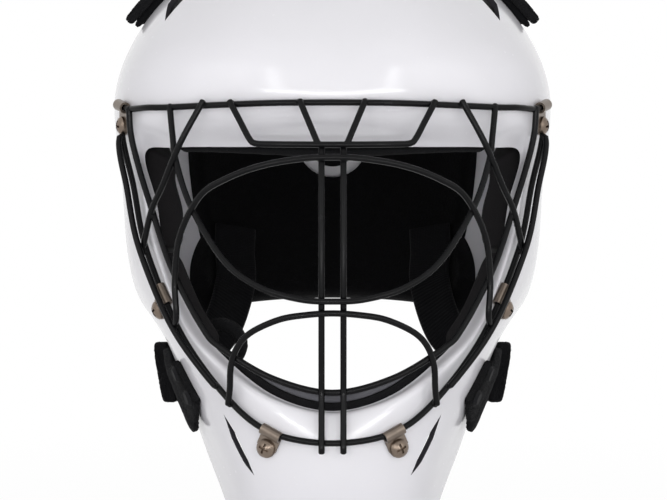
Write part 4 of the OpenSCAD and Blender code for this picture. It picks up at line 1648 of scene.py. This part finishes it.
    def _beads(self, paths: list[Array]) -> None:
        """Small domes of weld metal where two wires meet, as one piece.

        A bead sits halfway between the two wires' middles wherever their distance is
        least and under weld_reach wire diameters, and the points weld_skip either way
        along the first wire then get no second one.

        Args:
            paths: Path of every wire, in millimetres.
        """
        middles: list[Array] = []
        for i, a in enumerate(paths):
            for b in paths[i + 1 :]:
                gap = np.linalg.norm(a[:, None] - b[None], axis=-1)
                while gap.size and gap.min() < WIRE_D * self.weld_reach:
                    p, q = np.unravel_index(np.argmin(gap), gap.shape)
                    middles.append((a[p] + b[q]) / 2)
                    gap[max(p - self.weld_skip, 0) : p + self.weld_skip + 1] = np.inf
        rings, sides = self.bead_grid
        lift = np.linspace(-np.pi / 2, np.pi / 2, rings + 2)[1:-1]
        turn = np.linspace(0, 2 * np.pi, sides, endpoint=False)
        ball = np.stack(
            [
                np.outer(np.cos(lift), np.cos(turn)), np.outer(np.cos(lift), np.sin(turn)),
                np.repeat(np.sin(lift)[:, None], sides, axis=1),
            ],
            axis=-1,
        ).reshape(-1, 3)  # fmt: skip
        ball = np.concatenate([ball, [[0, 0, -1], [0, 0, 1]]])
        pole, j = rings * sides, np.arange(sides)
        beside = (j + 1) % sides
        low = np.stack([np.full(sides, pole), beside, j], axis=1)
        high = np.stack([np.full(sides, pole + 1), pole - sides + j, pole - sides + beside], axis=1)
        steps = len(ball) * np.arange(len(middles))[:, None, None]
        quads = (grid_faces(rings, sides, around=True) + steps).reshape(-1, 4)
        caps = (np.concatenate([low, high]) + steps).reshape(-1, 3)
        sizes = np.random.default_rng(4).uniform(*self.bead_radii, (len(middles), 1, 3))
        points = np.array(middles)[:, None] + ball[None] * sizes
        beads = new_piece("weld_beads", points.reshape(-1, 3) * MM, quads.tolist() + caps.tolist())
        self.settle(beads, WIRE, [])


@dataclass
class Fasteners(Part):
    """Clips, screws, nuts and rivets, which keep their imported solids."""

    def build(self) -> None:
        """Rounds the edges of the sheet metal and dresses each kind in its metal."""
        for side in Side:
            for kind in ("temple", "cheek", "chin"):
                dress_node(f"{kind}_clip_{side.word}", CLIP_METAL, 0.25)
            dress_node(f"jaw_buckle_{side.word}", BUCKLE_PLASTIC, 0.6)
        dress_node("clip_screws", SCREW_METAL, 0.2)
        dress_node("clip_nuts", NUT_METAL, 0.2)
        dress_node("mask_rivets", RIVET_PLASTIC, 0.3)


def bilinear(table: Array, rows: Array, columns: Array) -> Array:
    """Smooth value of a table of numbers at places between its rows and columns.

    Args:
        table: The numbers.
        rows: Places between its rows, counted from 0.
        columns: Places between its columns, as many as the rows.

    Returns:
        One value for each place.
    """
    picked = along(table, rows)
    base = np.clip(np.floor(columns).astype(int), 0, table.shape[1] - 2)
    t = columns - base
    n = np.arange(len(rows))
    return picked[n, base] * (1 - t) + picked[n, base + 1] * t


def ribbon(path: Array, outs: Array, width: float, thickness: float, side: Side) -> Mapping:
    """Mapping of a flat strap that follows a path.

    Args:
        path: Points along the strap's middle, in millimetres.
        outs: The way that its face looks at each point.
        width: Width of the strap.
        thickness: Its thickness.
        side: Side of the helmet; the path is the right side's.

    Returns:
        The mapping from the unit box.
    """
    heads = headings(path)
    face = square_to(outs, heads)
    across = np.cross(heads, face)
    spots = np.arange(len(path))

    def carried(values: Array, s: Array) -> Array:
        """Values at places along the path, taken between its points."""
        at = s * (len(path) - 1)
        return np.stack([np.interp(at, spots, values[:, k]) for k in range(3)], axis=1)

    def place(s: Array, f: Array, h: Array) -> Array:
        """Path point, moved across by f and through by h.

        Args:
            s: Places along, from 0 to 1.
            f: Places across, from 0 to 1.
            h: Places through the thickness, from 0 to 1.

        Returns:
            Points, one for each place.
        """
        sideways = carried(across, s) * ((f - 0.5) * width)[:, None]
        through = carried(face, s) * ((h - 0.5) * thickness)[:, None]
        return (carried(path, s) + sideways + through) * side.flip

    return place


@dataclass
class Straps(Part):
    """Elastic straps, webbing tabs and the curled strap end."""

    top_u: float = 2.14
    top_a: float = 72.0
    top_loops: tuple = (3.06, 3.3, 3.6, 3.92)
    top_rows: tuple = (0.42, 0.8, 1.2)
    tab_loops: tuple = (3.03, 3.14, 3.26, 3.38, 3.5)
    elastic: tuple = ((82.7, 36.8, 90.5), (82.2, 57, 92), (76, 73.5, 99.5), (60.5, 76.5, 112.5))
    elastic_out: tuple = ((1, 0, 0), (1, 0.4, -0.2), (0.7, 0.8, -0.2), (0.6, 0.8, -0.1))
    elastic_end: tuple = ((54, 5.75), (48, 5.35), (44, 5.0))
    curl: tuple = (
        (63, -50, 109), (61.5, -54, 115), (56, -57, 117), (49.5, -58, 114),
        (46.5, -58, 107), (49, -58, 100), (54, -58, 97.5),
    )  # fmt: skip
    curl_share: tuple[float, float] = (0.6, 1.7)
    jaw_span: tuple[float, float] = (6.22, 6.84)
    jaw_front: tuple = ((2.0, 0), (2.12, 0), (2.33, 0.3), (2.6, 1.2), (2.85, 2.4))
    jaw_rear: tuple = (
        ((86.5, -11, 103), (77, -16, 74)),
        ((85.5, -1, 103), (78, -5, 74.5)),
        ((82.2, 7.6, 104), (78, 7.6, 75)),
    )
    fold: tuple = (84.54, 26.0, 90.5)
    fold_length: float = 26.0
    fold_lean: float = 5.5
    pile: tuple[float, float] = (0.35, 0.4)
    jaw_across: int = 5
    top_bend: tuple = ((0, 0.043, 0.292), (0, 0.060, 0.283))
    side_bend: tuple = ((0, 0.045, 0.092), (0, 0.084, 0.115))

    def build(self) -> None:
        """Makes each strap on both sides, and the curl on the left."""
        for side in Side:
            self._top(side)
            self._jaw_tab(side)
            self._jaw_fold(side)
            self._elastic(side)
        path = smooth(np.array(self.curl, float), 16)
        outs = np.cross(headings(path), np.array([0, 1.0, 0]))
        wide, thick = self.curl_share
        place = ribbon(path, outs, STRAP_W * wide, STRAP_T * thick, Side.LEFT)
        curl = soft_box("strap_curl", place, (150, 48), (0.05, 0.3), (0.08, 0.017))
        roughen(curl, self.pile[0])
        self.settle(curl, PILE, ["strap_loop"])

    def _top(self, side: Side) -> None:
        """A top strap that bends over the hinge line, and the tab on its front end.

        Args:
            side: Side of the helmet.
        """
        u = np.full(len(self.top_loops), self.top_u)
        v = np.array(self.top_loops)
        a = np.full(len(self.top_rows), self.top_a)
        t = np.array(self.top_rows)
        lift = SEAT + STRAP_T / 2
        front, rear = MASK.off(u, v, np.full(len(v), lift)), PLATE.off(a, t, np.full(len(t), lift))
        path = smooth(np.concatenate([front, rear]), 16)
        outs = smooth(np.concatenate([MASK.out(u, v), PLATE.out(a, t)]), 16)
        place = ribbon(path, outs, STRAP_W, STRAP_T, side)
        strap = soft_box(f"top_elastic_{side.word}", place, (120, 32), (0.04, 0.3), (0.1, 0.028))
        self.settle(strap, ELASTIC, [f"top_strap_{side.word}"], across=self.top_bend)
        u = np.full(len(self.tab_loops), self.top_u)
        v = np.array(self.tab_loops)
        path = smooth(MASK.off(u, v, np.full(u.shape, 2 * SEAT + STRAP_T * 1.75)), 12)
        place = ribbon(path, smooth(MASK.out(u, v), 12), STRAP_W + 1, STRAP_T * 1.5, side)
        tab = soft_box(f"top_webbing_{side.word}", place, (72, 80), (0.06, 0.35), (0.02, 0.029))
        roughen(tab, self.pile[1])
        self.settle(tab, PILE, [f"top_tab_{side.word}"])

    def _jaw_tab(self, side: Side) -> None:
        """The webbing tab from the jaw back to the buckle, as rows across its width.

        Args:
            side: Side of the helmet.
        """
        count = self.jaw_across
        u = np.linspace(*self.jaw_span, count)
        lift = SEAT + STRAP_T / 2
        front = [
            MASK.off(u, np.full(count, v), np.full(count, lift + h)) for v, h in self.jaw_front
        ]
        rear = [np.linspace(top, foot, count) for top, foot in self.jaw_rear]
        rows = np.array(front + rear, float)

        def at(s: Array, f: Array) -> Array:
            """Points of the band's middle."""
            places = s * (len(rows) - 1), f * (count - 1)
            return np.stack([bilinear(rows[..., k], *places) for k in range(3)], axis=1)

        def place(s: Array, f: Array, h: Array) -> Array:
            """Rows by s, the place across by f, and through the thickness by h.

            Args:
                s: Places along, from 0 to 1.
                f: Places across, from 0 to 1.
                h: Places through the thickness, from 0 to 1.

            Returns:
                Points, one for each place.
            """
            on = at(np.minimum(s + 0.02, 1), f) - at(np.maximum(s - 0.02, 0), f)
            over = at(s, np.minimum(f + 0.05, 1)) - at(s, np.maximum(f - 0.05, 0))
            face = unit(np.cross(over, on))
            return (at(s, f) + face * ((h - 0.45) * STRAP_T * 1.2)[:, None]) * side.flip

        tab = soft_box(f"jaw_webbing_{side.word}", place, (150, 64), (0.05, 0.3), (0.09, 0.03))
        roughen(tab, self.pile[0])
        self.settle(tab, PILE, [f"jaw_tab_{side.word}"])

    def _fold_layer(self, side: Side, i: int) -> Mapping:
        """Mapping of one layer of the fold, which stands on edge and leans.

        Args:
            side: Side of the helmet.
            i: -1 for the inner layer, 1 for the outer one.

        Returns:
            The mapping from the unit box.
        """
        x, y, z = self.fold
        middle = x + i * STRAP_T * 1.05
        length = self.fold_length + 3 * i

        def place(s: Array, f: Array, h: Array) -> Array:
            """Along the layer by s, up by f and through by h, wavy by half a millimetre.

            Args:
                s: Places along, from 0 to 1.
                f: Places across, from 0 to 1.
                h: Places through the thickness, from 0 to 1.

            Returns:
                Points, one for each place.
            """
            wave = 0.4 * np.sin(s * 9 + f * 3) + self.fold_lean * (f - 0.5)
            px = middle + (h - 0.5) * STRAP_T * 2.1 + wave
            py = y - self.fold_length / 2 + length * s
            points = np.stack([px, py, z + (f - 0.5) * (STRAP_W + 3)], axis=1)
            return points * side.flip

        return place

    def _jaw_fold(self, side: Side) -> None:
        """The elastic folded back on itself behind the buckle, as two thick layers.

        Args:
            side: Side of the helmet.
        """
        for i, word in ((-1, "inner"), (1, "outer")):
            name, cloth = f"jaw_fold_{word}_{side.word}", (0.028, 0.031)
            layer = soft_box(name, self._fold_layer(side, i), (56, 88), (0.08, 0.3), cloth)
            roughen(layer, self.pile[1])
            self.settle(layer, PILE, [f"jaw_strap_{side.word}"])

    def _elastic(self, side: Side) -> None:
        """The side elastic from the fold to the inside of the back lining.

        Args:
            side: Side of the helmet.
        """
        a, t = np.array(self.elastic_end, float).T
        height = np.full(a.shape, LINING_IN - 14 * SEAT - STRAP_T / 2)
        path = smooth(np.concatenate([np.array(self.elastic, float), PLATE.off(a, t, height)]), 16)
        outs = smooth(np.concatenate([np.array(self.elastic_out, float), PLATE.out(a, t)]), 16)
        place = ribbon(path, outs, STRAP_W * 0.86, STRAP_T, side)
        strap = soft_box(f"side_band_{side.word}", place, (150, 32), (0.03, 0.3), (0.13, 0.024))
        self.settle(strap, ELASTIC, [f"side_elastic_{side.word}"], across=self.side_bend)


# Studio


@dataclass
class Studio:
    """Pale floor and backdrop, soft lamps and the camera."""

    eye: tuple[float, float, float] = (0.0005, -2.512, 0.155)
    lens: float = 259.0
    lamps: tuple = (
        ("overhead", (0.0, -0.7, 2.3), (0, 0, 0.15), 2.4, 2.5),
        ("left_window", (-1.9, -1.8, 0.7), (0, 0, 0.15), 1.6, 7.5),
        ("right_window", (1.9, -1.8, 0.7), (0, 0, 0.15), 1.6, 7.5),
        ("front", (0.0, -3.6, 0.35), (0, 0, 0.13), 1.6, 5.0),
        ("low_card", (0, -1.5, 0.03), (0, 0, 0.22), 1.5, 6.0, 0.09),
        ("left_strip", (-1.0, -2.6, 0.6), (0, 0, 0.15), 0.22, 5.0, 1.6),
        ("right_strip", (1.0, -2.6, 0.6), (0, 0, 0.15), 0.22, 5.0, 1.6),
    )
    ambient: float = 0.68

    def build(self) -> None:
        """Sets up the view, the camera, the lamps, the floor and the world."""
        scene = bpy.context.scene
        scene.view_settings.view_transform = "Standard"
        data = bpy.data.cameras.new("camera")
        data.lens = self.lens
        data.sensor_width = 36.0
        data.clip_start = 0.05
        camera = bpy.data.objects.new("camera", data)
        camera.location = self.eye
        camera.rotation_euler = Euler((math.radians(90), 0, 0))
        scene.collection.objects.link(camera)
        scene.camera = camera
        for lamp in self.lamps:
            self._lamp(*lamp)
        self._floor()
        self._world()

    def _lamp(
        self,
        name: str,
        place: Sequence[float],
        aim: Sequence[float],
        size: float,
        power: float,
        tall: float = 0.0,
    ) -> None:
        """A soft lamp that looks at a point.

        Args:
            name: Name of the lamp.
            place: Where it stands, in metres.
            aim: The point that it looks at.
            size: Its width in metres.
            power: Its power in watts.
            tall: Its height in metres, or 0 for a square one.
        """
        data = bpy.data.lights.new(name, "AREA")
        data.shape = "RECTANGLE"
        data.size = size
        data.size_y = tall or size
        data.energy = power
        lamp = bpy.data.objects.new(name, data)
        lamp.location = place
        way = Vector(aim) - Vector(place)
        lamp.rotation_euler = way.to_track_quat("-Z", "Y").to_euler()
        bpy.context.scene.collection.objects.link(lamp)

    def _bright(self, tree: bpy.types.NodeTree) -> bpy.types.NodeSocket:
        """1 for rays from the camera, from gloss and through glass, otherwise 0.

        Args:
            tree: A material's or the world's node tree.

        Returns:
            Output that carries it.
        """
        path = tree.nodes.new("ShaderNodeLightPath")
        total = path.outputs["Is Camera Ray"]
        for ray in ("Is Glossy Ray", "Is Transmission Ray"):
            most = tree.nodes.new("ShaderNodeMath")
            most.operation = "MAXIMUM"
            tree.links.new(total, most.inputs[0])
            tree.links.new(path.outputs[ray], most.inputs[1])
            total = most.outputs[0]
        return total

    def _faded(self, tree: bpy.types.NodeTree, near: float) -> bpy.types.NodeSocket:
        """Share of plain white, from a value under the helmet to 1 at 1.5 m and beyond.

        Args:
            tree: The floor's node tree.
            near: The value under the helmet.

        Returns:
            Output that carries it.
        """
        where = tree.nodes.new("ShaderNodeTexCoord")
        run = tree.nodes.new("ShaderNodeVectorMath")
        run.operation = "LENGTH"
        tree.links.new(where.outputs["Object"], run.inputs[0])
        fade = tree.nodes.new("ShaderNodeMapRange")
        for i, value in enumerate((0.4, 1.5, near, 1.0), 1):
            fade.inputs[i].default_value = value
        tree.links.new(run.outputs["Value"], fade.inputs[0])
        return fade.outputs[0]

    def _floor(self) -> None:
        """A wide pale floor that keeps the helmet's shadow and meets the backdrop."""
        points = np.array([[-6, -3, 0], [6, -3, 0], [6, 9, 0], [-6, 9, 0]], float)
        floor = new_piece("floor", points, [[0, 1, 2, 3]], soft=False)
        material = bpy.data.materials.new("pale floor")
        material.use_nodes = True
        tree = material.node_tree
        tree.nodes.clear()
        end = tree.nodes.new("ShaderNodeOutputMaterial")
        mix = tree.nodes.new("ShaderNodeMixShader")
        glow = tree.nodes.new("ShaderNodeEmission")
        plain = tree.nodes.new("ShaderNodeBsdfDiffuse")
        plain.inputs["Color"].default_value = (0.86, 0.86, 0.87, 1)
        factor = tree.nodes.new("ShaderNodeMath")
        factor.operation = "MULTIPLY"
        tree.links.new(self._bright(tree), factor.inputs[0])
        tree.links.new(self._faded(tree, 0.97), factor.inputs[1])
        tree.links.new(factor.outputs[0], mix.inputs[0])
        tree.links.new(plain.outputs[0], mix.inputs[1])
        tree.links.new(glow.outputs[0], mix.inputs[2])
        tree.links.new(mix.outputs[0], end.inputs[0])
        floor.data.materials.append(material)

    def _world(self) -> None:
        """A white backdrop to the camera, and a softer even light on the helmet."""
        world = bpy.data.worlds.new("studio")
        bpy.context.scene.world = world
        world.use_nodes = True
        tree = world.node_tree
        tree.nodes.clear()
        end = tree.nodes.new("ShaderNodeOutputWorld")
        mix = tree.nodes.new("ShaderNodeMixShader")
        soft = tree.nodes.new("ShaderNodeBackground")
        soft.inputs["Strength"].default_value = self.ambient
        white = tree.nodes.new("ShaderNodeBackground")
        white.inputs["Color"].default_value = (1, 1, 1, 1)
        tree.links.new(self._bright(tree), mix.inputs[0])
        tree.links.new(soft.outputs[0], mix.inputs[1])
        tree.links.new(white.outputs[0], mix.inputs[2])
        tree.links.new(mix.outputs[0], end.inputs[0])


def main() -> None:
    """Builds the studio and every sub-assembly of the helmet in order."""
    logging.basicConfig(level=logging.INFO, format="%(name)s: %(message)s")
    Studio().build()
    for part in (MaskShell(), BackPlate(), Padding(), Cage(), Fasteners(), Straps()):
        part.build()


if __name__ == "__main__":
    main()
